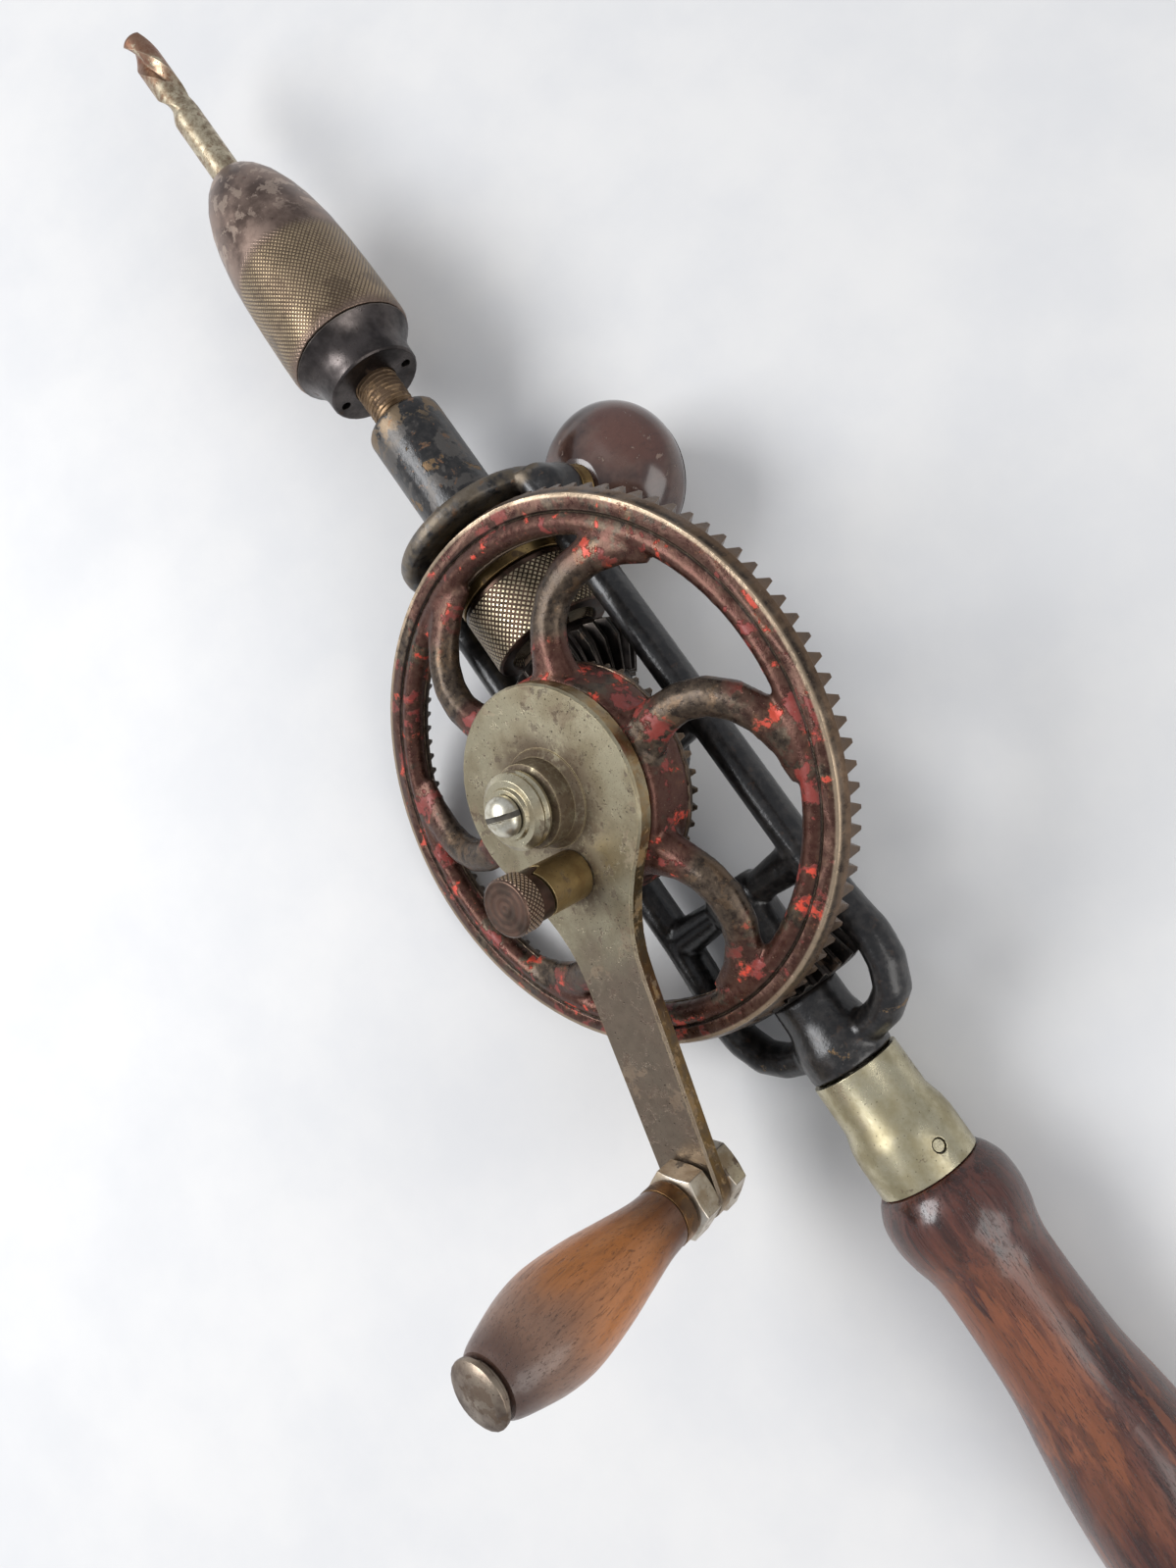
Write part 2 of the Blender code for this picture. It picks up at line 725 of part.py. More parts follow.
# The axle: stud, collar and slotted screw
def make_axle(axes):
    low = -AXLE_BOSS_BACK - RUN
    screw_end = AXLE_TOP - AXLE_SCREW_DEPTH
    hole = AXLE_SCREW_RADIUS + RUN
    stud = lathe("axle_stud", [
        (0, low - AXLE_HEAD),
        (AXLE_HEAD_RADIUS - EDGE_CHAMFER, low - AXLE_HEAD),
        (AXLE_HEAD_RADIUS, low - AXLE_HEAD + EDGE_CHAMFER),
        (AXLE_HEAD_RADIUS, low),
        (AXLE_RADIUS, low),
        (AXLE_RADIUS, AXLE_TOP),
        (hole, AXLE_TOP),
        (hole, screw_end - RUN),
        (0, screw_end - RUN),
    ], "bright_steel")
    groove = AXLE_COLLAR / 8
    base = AXLE_TOP + RUN
    collar = lathe("axle_collar", [
        (hole, base),
        (AXLE_COLLAR_RADIUS - groove, base),
        (AXLE_COLLAR_RADIUS, base + groove),
        (AXLE_COLLAR_RADIUS, base + 2 * groove),
        (AXLE_COLLAR_RADIUS - groove, base + 3 * groove),
        (AXLE_COLLAR_RADIUS, base + 4 * groove),
        (AXLE_COLLAR_RADIUS, COLLAR_FACE - 2 * groove),
        (AXLE_COLLAR_RADIUS - 2 * groove, COLLAR_FACE),
        (AXLE_RING_RADIUS, COLLAR_FACE),
        (AXLE_RING_RADIUS - groove / 2, COLLAR_TOP),
        (hole, COLLAR_TOP),
    ], "nickel", FINE)
    seat = COLLAR_TOP + RUN
    lip = AXLE_SCREW_DOME / 5
    dome = [
        (AXLE_SCREW_HEAD_RADIUS * cos(angle), seat + lip + (AXLE_SCREW_DOME - lip) * sin(angle))
        for angle in (0, pi / 8, pi / 4, 3 * pi / 8)
    ]
    screw = lathe("axle_screw", [
        (0, screw_end),
        (AXLE_SCREW_RADIUS, screw_end),
        (AXLE_SCREW_RADIUS, seat),
        (AXLE_SCREW_HEAD_RADIUS, seat),
        *dome,
        (0, seat + AXLE_SCREW_DOME),
    ], "bright_steel")
    slot_floor = seat + AXLE_SCREW_DOME - SLOT_DEPTH
    reach = AXLE_SCREW_HEAD_RADIUS + OVERRUN
    slot = box(
        "axle_screw_slot_cutter", (-reach, -SLOT_WIDTH / 2, slot_floor),
        (reach, SLOT_WIDTH / 2, slot_floor + SLOT_DEPTH + OVERRUN),
    )
    for piece in (stud, collar, screw):
        place(piece, axes)
    place(slot, axes, rotation=(0, 0, SLOT_TURN))
    cut(screw, slot)


# The crank: disc, arm and boss in one forging, with the ratchet selector on it
def crank_outline():
    """The disc and the arm along +X, joined by a fillet on each side."""
    leave = ARM_LEAVE
    upper = []
    knee = (DISC_RADIUS * cos(leave), DISC_RADIUS * sin(leave))
    meet = (CRANK_LENGTH * ARM_MEET_SHARE, ARM_ROOT_HALF)
    corner_x = knee[0] + (knee[1] - ARM_ROOT_HALF) * tan(leave)
    for step in range(7):
        share = step / 6
        weight = (1 - share) ** 2, 2 * share * (1 - share), share ** 2
        upper.append((
            knee[0] * weight[0] + corner_x * weight[1] + meet[0] * weight[2],
            knee[1] * weight[0] + ARM_ROOT_HALF * weight[1] + meet[1] * weight[2],
        ))
    lower = [(x, -y) for x, y in reversed(upper)]
    disc = arc((0, 0), DISC_RADIUS, leave, 2 * pi - leave, 30)[1:-1]
    end = arc((CRANK_LENGTH, 0), ARM_END_HALF, -pi / 2, pi / 2, 10)
    return end + list(reversed(upper)) + disc + list(reversed(lower))


def make_crank(crank_axes):
    crank = prism(
        "crank", crank_outline(), CRANK_BACK, CRANK_FRONT, "nickel", EDGE_CHAMFER
    )
    fillet = CRANK_BOSS / 4
    inside = CRANK_FRONT - CRANK_THICK / 2
    boss = lathe("crank_boss_shape", [
        (0, inside),
        (CRANK_BOSS_RADIUS + fillet, inside),
        (CRANK_BOSS_RADIUS + fillet, CRANK_FRONT + EDGE_CHAMFER / 2),
        (CRANK_BOSS_RADIUS, CRANK_FRONT + fillet),
        (CRANK_BOSS_RADIUS, CRANK_BOSS_TOP - 2 * EDGE_CHAMFER),
        (CRANK_BOSS_RADIUS - EDGE_CHAMFER / 2, CRANK_BOSS_TOP - EDGE_CHAMFER / 2),
        (CRANK_BOSS_RADIUS - 2 * EDGE_CHAMFER, CRANK_BOSS_TOP),
        (0, CRANK_BOSS_TOP),
    ], None, FINE)
    low = CRANK_BACK - OVERRUN
    bore = lathe(
        "crank_bore_cutter", rod_profile(AXLE_RADIUS + RUN, low, CRANK_BOSS_TOP + OVERRUN)
    )
    high = CRANK_FRONT + OVERRUN
    pawl_hole = lathe(
        "crank_pawl_hole_cutter", rod_profile(PAWL_RADIUS + RUN, low, high), None, SMALL
    )
    bolt_hole = lathe(
        "crank_bolt_hole_cutter", rod_profile(GRIP_BOLT_RADIUS + RUN, low, high), None, SMALL
    )
    for piece in (crank, boss, bore):
        place(piece, crank_axes)
    place(pawl_hole, crank_axes, (PAWL_PLACE, 0, 0))
    place(bolt_hole, crank_axes, (CRANK_LENGTH, 0, 0))
    join(crank, boss)
    cut(crank, bore, pawl_hole, bolt_hole)


def cam_height(angle):
    """Height of the stepped edge above its lowest land: two ramps, each with a drop."""
    around = (angle % pi) / pi
    ramp = SELECTOR_TURN / pi
    drop = CAM_DROP_SHARE
    if around < ramp:
        return SELECTOR_TRAVEL * around / ramp
    if around < ramp + drop:
        return SELECTOR_TRAVEL * (ramp + drop - around) / drop
    return 0


def cam_tube(name, inner, outer, plain, edge, finish=None, sides=FINE):
    """A tube with a plain end at height plain and a stepped end at height edge."""
    points = []
    rings = [[], [], [], []]
    for step in range(sides):
        angle = 2 * pi * step / sides
        level = edge + cam_height(angle)
        for ring, radius, height in zip(
            rings, (inner, outer, outer, inner), (plain, plain, level, level)
        ):
            ring.append(len(points))
            points.append((radius * cos(angle), radius * sin(angle), height))
    return mesh_object(name, points, rings_to_faces(rings, True), finish)


def make_selector(crank_axes):
    """Housing, pull knob, pawl and the spring with its seat."""
    at = empty("selector_axis", crank_axes, (PAWL_PLACE, 0, 0))
    housing = cam_tube(
        "selector_housing", HOUSING_BORE, HOUSING_RADIUS, HOUSING_BASE, HOUSING_TOP, "brass"
    )
    place(housing, at)

    knob = cam_tube(
        "selector_knob", HOUSING_BORE, HOUSING_RADIUS, SKIRT_TOP, HOUSING_TOP + 2 * RUN, "dark_steel"
    )
    neck = SKIRT_TOP - SKIRT_LENGTH / 4
    head = lathe("selector_knob_head_shape", [
        (0, neck),
        (HOUSING_RADIUS - RUN, neck),
        (SELECTOR_KNOB_RADIUS, SKIRT_TOP),
        (SELECTOR_KNOB_RADIUS, SELECTOR_TOP - EDGE_CHAMFER),
        (SELECTOR_KNOB_RADIUS - EDGE_CHAMFER, SELECTOR_TOP),
        (0, SELECTOR_TOP),
    ], None, FINE)
    stem_top = SELECTOR_TOP - SELECTOR_KNOB_LENGTH / 2
    socket = lathe(
        "selector_knob_socket_cutter",
        rod_profile(PAWL_RADIUS + RUN, neck - OVERRUN, stem_top + RUN), None, SMALL,
    )
    place(knob, at)
    place(head, at)
    place(socket, at)
    join(knob, head)
    cut(knob, socket)

    pawl = lathe("ratchet_pawl", rod_profile(PAWL_RADIUS, PAWL_TIP, stem_top), "bright_steel", SMALL)
    place(pawl, at)
    reach = PAWL_RADIUS + OVERRUN
    for side in (-1, 1):
        near, far = sorted((side * PAWL_BLADE / 2, side * reach))
        flat = box(
            f"pawl_flat_cutter_{1 if side < 0 else 2}", (-reach, near, PAWL_TIP - OVERRUN),
            (reach, far, PAWL_SHOULDER),
        )
        cut(pawl, place(flat, at))

    seat_low = HOUSING_BASE + EDGE_CHAMFER
    seat_top = seat_low + EDGE_CHAMFER * 3
    seat = lathe(
        "spring_seat", tube_profile(PAWL_RADIUS + RUN, HOUSING_BORE - RUN, seat_low, seat_top),
        "bright_steel", SMALL,
    )
    place(seat, at)


# The crank grip: bolt, nut, collar, wood and end button
def hexagon(half_across):
    corner = half_across / cos(pi / 6)
    return [(corner * cos(pi * step / 3), corner * sin(pi * step / 3)) for step in range(6)]


def hex_block(name, low, high, finish):
    """A hexagonal block with its corners turned off at both ends."""
    block = prism(name, hexagon(HEX_HALF_ACROSS), low - OVERRUN, high + OVERRUN, finish)
    corner = HEX_HALF_ACROSS / cos(pi / 6)
    drop = corner - HEX_HALF_ACROSS
    land = HEX_HALF_ACROSS * HEX_LAND_SHARE
    turned = lathe(name + "_turned_cutter", [
        (0, low),
        (land, low),
        (corner + drop, low + drop),
        (corner + drop, high - drop),
        (land, high),
        (0, high),
    ], None, SMALL + SMALL // 2)
    return block, turned


# Along the grip: share of its length, share of its largest radius
GRIP_SHARES = [
    (0.00, 0.60), (0.10, 0.64), (0.25, 0.76), (0.42, 0.90), (0.58, 0.99),
    (0.68, 1.00), (0.78, 0.94), (0.88, 0.82), (0.96, 0.70), (1.00, 0.60),
]


def make_grip(crank_axes):
    at = empty("grip_axis", crank_axes, (CRANK_LENGTH, 0, 0))
    head_low = CRANK_BACK - RUN - HEX_HEAD
    bolt, turned = hex_block("grip_bolt", head_low, CRANK_BACK - RUN, "bright_steel")
    shank = lathe(
        "grip_bolt_shank_shape",
        rod_profile(GRIP_BOLT_RADIUS, head_low + HEX_HEAD / 2, GRIP_TOP + GRIP_BUTTON / 2), None, SMALL,
    )
    for piece in (bolt, turned, shank):
        place(piece, at, rotation=(0, 0, HEX_HEAD_TURN))
    combine(bolt, turned, "INTERSECT")
    join(bolt, shank)

    nut, nut_turned = hex_block("grip_nut", NUT_BASE, NUT_BASE + HEX_NUT, "bright_steel")
    nut_hole = lathe(
        "grip_nut_hole_cutter",
        rod_profile(GRIP_BOLT_RADIUS + RUN, NUT_BASE - OVERRUN, NUT_BASE + HEX_NUT + OVERRUN), None, SMALL,
    )
    for piece in (nut, nut_turned, nut_hole):
        place(piece, at, rotation=(0, 0, HEX_NUT_TURN))
    combine(nut, nut_turned, "INTERSECT")
    cut(nut, nut_hole)

    hole = GRIP_BOLT_RADIUS + RUN
    collar = lathe("grip_collar", [
        (hole, GRIP_COLLAR_BASE),
        (GRIP_COLLAR_RADIUS * GRIP_COLLAR_FACE_SHARE, GRIP_COLLAR_BASE),
        (GRIP_COLLAR_RADIUS, GRIP_COLLAR_BASE + EDGE_CHAMFER),
        (GRIP_COLLAR_RADIUS, GRIP_COLLAR_BASE + GRIP_COLLAR),
        (hole, GRIP_COLLAR_BASE + GRIP_COLLAR),
    ], "brass")
    wood = [(GRIP_RADIUS * wide, GRIP_BASE + GRIP_LENGTH * along) for along, wide in GRIP_SHARES]
    grip = lathe("crank_grip", [(hole, GRIP_BASE), *wood, (hole, GRIP_TOP)], "orange_wood")
    low = GRIP_TOP + RUN
    button = lathe("grip_button", [
        (0, GRIP_TOP + GRIP_BUTTON / 2 + RUN),
        (hole, GRIP_TOP + GRIP_BUTTON / 2 + RUN),
        (hole, low),
        (GRIP_BUTTON_RADIUS * BUTTON_NECK_SHARE, low),
        (GRIP_BUTTON_RADIUS * BUTTON_NECK_SHARE, low + GRIP_BUTTON / 4),
        (GRIP_BUTTON_RADIUS, low + GRIP_BUTTON / 3),
        (GRIP_BUTTON_RADIUS, low + GRIP_BUTTON * 2 / 3),
        (GRIP_BUTTON_RADIUS * BUTTON_FACE_SHARE, BUTTON_TOP - EDGE_CHAMFER / 2),
        (0, BUTTON_TOP),
    ], "nickel")
    for piece in (collar, grip, button):
        place(piece, at)


# The frame casting
ALONG_SPINDLE = (0, pi / 2, 0)
ALONG_BACK = (pi, 0, 0)


# Round the loop: share of the way from the idler's back to the bottom, share of the way in
LOOP_SHARES = [(-0.20, 0.00), (0.25, 0.06), (0.68, 0.27), (0.92, 0.63), (1.00, 1.00)]


def rails_path():
    """Down the right side, round the bottom of the loop and up the left side."""
    half = [
        (FLANGE_BOTTOM + FLANGE_THICK / 3, RAIL_OUT),
        (FLANGE_BOTTOM / 2, RAIL_OUT),
        (CROSSBAR_PLACE, RAIL_OUT),
        (IDLER_BOSS_END, (RAIL_OUT + LOOP_OUT) / 2),
    ]
    for down, inward in LOOP_SHARES:
        along = IDLER_BACK + (LOOP_BOTTOM - IDLER_BACK) * down
        half.append((along, LOOP_OUT + (FRAME_END_RADIUS - LOOP_OUT) * inward))
    right = [(along, -out, 0) for along, out in half]
    left = [(along, out, 0) for along, out in reversed(half)]
    return right + left


# Along the crossbar: shares of its half width and of its half depth
CROSSBAR_SHARES = [(1.35, 1.33), (1.00, 1.20), (1.00, 1.20), (1.35, 1.33)]


def make_frame(axes):
    inside = FLANGE_BOTTOM + FLANGE_THICK / 4
    frame = lathe("frame", [
        (0, inside),
        (NECK_RADIUS + FLANGE_THICK / 2, inside),
        (NECK_RADIUS + FLANGE_THICK / 2, FLANGE_TOP + RUN),
        (NECK_RADIUS, FLANGE_TOP + FLANGE_THICK / 2),
        (NECK_RADIUS, NECK_TOP - FLANGE_THICK / 4),
        (NECK_RADIUS - FLANGE_THICK / 4, NECK_TOP),
        (0, NECK_TOP),
    ], "japanned_iron")
    place(frame, axes, rotation=ALONG_SPINDLE)

    back = FLANGE_BACK_ANGLE
    half_disc = arc((0, 0), FLANGE_RADIUS, pi / 2 - back, 3 * pi / 2 + back, 26)
    flange = prism("frame_flange_shape", half_disc, FLANGE_BOTTOM, FLANGE_TOP, None, EDGE_CHAMFER * 2)
    place(flange, axes, rotation=ALONG_SPINDLE)
    path = rails_path()
    half = (RAIL_HALF_WIDTH, RAIL_HALF_DEPTH)
    rails = sweep("frame_rails_shape", path, [half] * len(path), (0, 0, 1))
    parts = [flange, place(rails, axes)]
    for side, label in ((-1, "right"), (1, "left")):
        dome = [
            (SHOULDER_RADIUS * cos(angle), SHOULDER_DOME * sin(angle))
            for angle in (0, pi / 6, pi / 3)
        ]
        shoulder = lathe(f"frame_{label}_shoulder_shape", [
            (0, -SHOULDER_BACK),
            (SHOULDER_RADIUS - EDGE_CHAMFER, -SHOULDER_BACK),
            (SHOULDER_RADIUS, -SHOULDER_BACK + EDGE_CHAMFER),
            *dome,
            (0, SHOULDER_DOME),
        ])
        parts.append(place(shoulder, axes, (SHOULDER_PLACE, side * RAIL_OUT, 0)))

    cross = sweep("frame_axle_bridge_shape", [
        (0, -RAIL_OUT, 0), (0, -AXLE_BOSS_RADIUS, 0), (0, AXLE_BOSS_RADIUS, 0), (0, RAIL_OUT, 0),
    ], [(AXLE_BOSS_RADIUS * BRIDGE_HALF_SHARE, RAIL_HALF_DEPTH * BRIDGE_DEPTH_SHARE)] * 4, (0, 0, 1))
    axle_boss = lathe(
        "frame_axle_boss_shape",
        rod_profile(AXLE_BOSS_RADIUS, -AXLE_BOSS_BACK, AXLE_BOSS_FRONT, EDGE_CHAMFER),
    )
    tail_boss = lathe("frame_tail_boss_shape", rod_profile(
        TAIL_BOSS_RADIUS, TAIL_BOSS_START, TAIL_BOSS_END, EDGE_CHAMFER))
    bar = sweep("frame_crossbar_shape", [
        (CROSSBAR_PLACE, -RAIL_OUT, 0),
        (CROSSBAR_PLACE, -IDLER_BOSS_RADIUS, 0),
        (CROSSBAR_PLACE, IDLER_BOSS_RADIUS, 0),
        (CROSSBAR_PLACE, RAIL_OUT, 0),
    ], [(CROSSBAR_HALF * wide, CROSSBAR_HALF * deep) for wide, deep in CROSSBAR_SHARES], (0, 0, 1))
    crown = IDLER_BOSS_RADIUS * IDLER_CROWN_SHARE
    idler_boss = lathe("frame_idler_boss_shape", [
        (0, IDLER_BOSS_END - OVERRUN),
        (IDLER_BOSS_RADIUS, IDLER_BOSS_END - OVERRUN),
        (IDLER_BOSS_RADIUS, IDLER_BOSS_TOP - crown),
        (IDLER_BOSS_RADIUS * IDLER_CAP_SHARE, IDLER_BOSS_TOP),
        (0, IDLER_BOSS_TOP),
    ])
    bottom = lathe("frame_bottom_shape", [
        (0, FRAME_END),
        (FRAME_END_RADIUS, FRAME_END),
        (FRAME_END_RADIUS, LOOP_BOTTOM),
        (FRAME_END_RADIUS * FRAME_WAIST_SHARE, (FRAME_LAND + LOOP_BOTTOM) / 2),
        (FRAME_END_RADIUS * FRAME_WAIST_SHARE, FRAME_LAND + OVERRUN),
        (0, FRAME_LAND + OVERRUN),
    ])
    parts.append(place(cross, axes))
    parts.append(place(axle_boss, axes))
    parts.append(place(tail_boss, axes, rotation=ALONG_SPINDLE))
    parts.append(place(bar, axes))
    parts.append(place(idler_boss, axes, rotation=ALONG_SPINDLE))
    parts.append(place(bottom, axes, rotation=ALONG_SPINDLE))
    join(frame, *parts)

    relief = FAST_TIP.x + PINION_RELIEF
    fast_front = FAST_FRONT - PINION_RELIEF
    cutters = [
        lathe("frame_fast_relief_cutter", rod_profile(
            relief, fast_front, FLANGE_BOTTOM + RUN / 2), None, CUTTER_SIDES),
        lathe("frame_idler_relief_cutter", rod_profile(
            relief, FRAME_LAND, IDLER_BOSS_END), None, CUTTER_SIDES),
        lathe("frame_spindle_bore_cutter", rod_profile(
            SPINDLE_RADIUS + RUN, fast_front, NECK_TOP + OVERRUN)),
        lathe("frame_tail_bore_cutter", rod_profile(
            SPINDLE_TAIL_RADIUS + RUN, SPINDLE_TAIL - RUN, TAIL_BOSS_END + OVERRUN)),
        lathe("frame_idler_hole_cutter", rod_profile(
            IDLER_PIN_RADIUS + RUN, (LOOP_BOTTOM + FRAME_LAND) / 2, IDLER_BOSS_TOP + OVERRUN,
        ), None, SMALL),
        lathe("frame_tang_hole_cutter", rod_profile(
            TANG_RADIUS + RUN, FRAME_END - OVERRUN, LOOP_BOTTOM - OVERRUN), None, SMALL),
    ]
    for cutter in cutters:
        place(cutter, axes, rotation=ALONG_SPINDLE)
    stud_hole = lathe("frame_stud_hole_cutter", rod_profile(
        AXLE_RADIUS + RUN, -AXLE_BOSS_BACK - OVERRUN, AXLE_BOSS_FRONT + OVERRUN))
    knob_hole = lathe("frame_knob_hole_cutter", rod_profile(
        KNOB_STUD_RADIUS + RUN, -SHOULDER_BACK - OVERRUN, KNOB_STUD_TOP + RUN), None, SMALL)
    place(stud_hole, axes)
    place(knob_hole, axes, (SHOULDER_PLACE, KNOB_SIDE, 0))
    cut(frame, *cutters, stud_hole, knob_hole)


# Spindle, pinions, shifter and idler
def make_spindle(axes):
    spindle = lathe("spindle", [
        (0, SPINDLE_TAIL),
        (SPINDLE_TAIL_RADIUS, SPINDLE_TAIL),
        (SPINDLE_TAIL_RADIUS, TAIL_BOSS_END + RUN),
        (SPINDLE_RADIUS, TAIL_BOSS_END + RUN),
        (SPINDLE_RADIUS, NECK_TOP + RUN),
        (THREAD_RADIUS - EDGE_CHAMFER, NECK_TOP + RUN),
        (THREAD_RADIUS, NECK_TOP + RUN + EDGE_CHAMFER),
        (THREAD_RADIUS, THREAD_END),
        (0, THREAD_END),
    ], "bright_steel")
    place(spindle, axes, rotation=ALONG_SPINDLE)

    washer = lathe("thrust_washer", tube_profile(
        SPINDLE_RADIUS + RUN, FAST_TIP.x * WASHER_SHARE, FAST_BACK + RUN, FLANGE_BOTTOM - RUN), "brass")
    place(washer, axes, rotation=ALONG_SPINDLE)
    return spindle


def make_fast_pinion(axes):
    bore = SPINDLE_RADIUS + RUN
    small_root = FAST_ROOT * OUTER_SMALL_END
    nose = SHIFTER_TOP - CLUTCH_NOSE
    pinion = toothed(
        "fast_pinion", FAST_TEETH, (FAST_PITCH, FAST_TIP, FAST_ROOT), OUTER_MODULE, OUTER_SMALL_END,
        [
            (FAST_ROOT.x * PINION_BACK_SHARE, FAST_BACK),
            (bore, FAST_BACK),
            (bore, nose),
            (CLUTCH_TIP_RADIUS, nose),
            (CLUTCH_BASE_RADIUS, SHIFTER_TOP),
            (CLUTCH_BASE_RADIUS, FAST_FRONT),
            (small_root.x * PINION_FRONT_SHARE, FAST_FRONT),
        ],
        "dark_steel", pi,
    )
    place(pinion, axes, rotation=ALONG_SPINDLE)
    ring = lathe("clutch_ring", tube_profile(
        CLUTCH_BASE_RADIUS + RUN, SHIFTER_RADIUS, SHIFTER_TOP + RUN, FAST_FRONT - RUN), "brass", FINE)
    place(ring, axes, rotation=ALONG_SPINDLE)


def make_slow_pinion(axes):
    bore = SPINDLE_RADIUS + RUN
    small_root = SLOW_ROOT * INNER_SMALL_END
    tail = TAIL_BOSS_END + 2 * RUN
    nose = SLOW_HUB_END + CLUTCH_NOSE
    pinion = toothed(
        "slow_pinion", SLOW_TEETH, (SLOW_PITCH, SLOW_TIP, SLOW_ROOT), INNER_MODULE, INNER_SMALL_END,
        [
            (SLOW_ROOT.x * PINION_BACK_SHARE, SLOW_BACK),
            (CLUTCH_BASE_RADIUS, SLOW_BACK),
            (CLUTCH_BASE_RADIUS, SLOW_HUB_END),
            (CLUTCH_TIP_RADIUS, nose),
            (bore, nose),
            (bore, tail),
            (small_root.x * SLOW_FRONT_SHARE, tail),
        ],
        "dark_steel", pi, SLOW_STRAIGHT,
    )
    place(pinion, axes, rotation=ALONG_SPINDLE)


def make_shifter(axes, spindle):
    """The sleeve that slides on a cross key, and grips either pinion by its cone."""
    bore = SPINDLE_RADIUS + RUN
    low = SHIFTER_BOTTOM
    mouth = CLUTCH_BASE_RADIUS + RUN
    seat = CLUTCH_TIP_RADIUS + RUN
    deep = CLUTCH_NOSE + RUN
    shifter = lathe("speed_shifter", [
        (bore, low + deep),
        (seat, low + deep),
        (mouth, low),
        (SHIFTER_RADIUS - EDGE_CHAMFER, low),
        (SHIFTER_RADIUS, low + EDGE_CHAMFER),
        (SHIFTER_RADIUS, SHIFTER_TOP - EDGE_CHAMFER),
        (SHIFTER_RADIUS - EDGE_CHAMFER, SHIFTER_TOP),
        (mouth, SHIFTER_TOP),
        (seat, SHIFTER_TOP - deep),
        (bore, SHIFTER_TOP - deep),
    ], "worn_iron", FINE)
    place(shifter, axes, rotation=ALONG_SPINDLE)
    reach = SHIFT_KEY_HALF_LENGTH + RUN
    key_half = SHIFT_KEY_RADIUS + RUN
    key_way = box(
        "shifter_key_way_cutter", (-reach, -key_half, SHIFT_KEY_PLACE - key_half),
        (reach, key_half, SHIFT_KEY_PLACE + key_half + SHIFT_TRAVEL),
    )
    cut(shifter, place(key_way, axes, rotation=ALONG_SPINDLE))

    length = SHIFT_KEY_HALF_LENGTH
    key = lathe("shift_key", rod_profile(SHIFT_KEY_RADIUS, -length, length), "bright_steel", SMALL)
    key_hole = lathe("spindle_key_hole_cutter", rod_profile(key_half, -length, length), None, SMALL)
    for piece in (key, key_hole):
        place(piece, axes, (SHIFT_KEY_PLACE, 0, 0))
    cut(spindle, key_hole)


def make_idler(axes):
    bore = IDLER_PIN_RADIUS + RUN
    small_root = FAST_ROOT * OUTER_SMALL_END
    idler = toothed(
        "idler_pinion", FAST_TEETH, (FAST_PITCH, FAST_TIP, FAST_ROOT), OUTER_MODULE, OUTER_SMALL_END,
        [
            (FAST_ROOT.x * PINION_BACK_SHARE, FAST_BACK),
            (bore, FAST_BACK),
            (bore, FAST_FRONT),
            (small_root.x * PINION_FRONT_SHARE, FAST_FRONT),
        ],
        "dark_steel", 0,
    )
    place(idler, axes, rotation=(0, -pi / 2, 0))
    low = (LOOP_BOTTOM + FRAME_LAND) / 2 + RUN
    pin = lathe(
        "idler_pin", rod_profile(IDLER_PIN_RADIUS, low, IDLER_BOSS_TOP, EDGE_CHAMFER), "bright_steel", SMALL
    )
    place(pin, axes, rotation=ALONG_SPINDLE)


# Chuck: body, shell and three jaws, with the bit between them
# Along the shell from its rear edge: share of its length, share of its largest radius
SHELL_SHARES = [
    (0.00, 0.975), (0.02, 1.00), (0.12, 1.00), (0.30, 0.99), (0.45, 0.97), (0.58, 0.94),
    (0.70, 0.875), (0.80, 0.79), (0.89, 0.68), (0.96, 0.55),
]

# Along the collar behind the shell: share of its length, share of the shell's radius
COLLAR_SHARES = [
    (0.05, 0.74), (0.38, 0.745), (0.56, 0.775), (0.72, 0.83), (0.86, 0.90), (0.95, 0.95),
]


def cone_radius(place_x):
    """Inside radius of the shell's cone, which closes towards the nose."""
    nose = BIT_RADIUS + 2 * RUN
    share = (place_x - JAW_CONE_REAR) / (CHUCK_NOSE - CHUCK_WALL - JAW_CONE_REAR)
    return JAW_CONE_REAR_RADIUS + (nose - JAW_CONE_REAR_RADIUS) * share


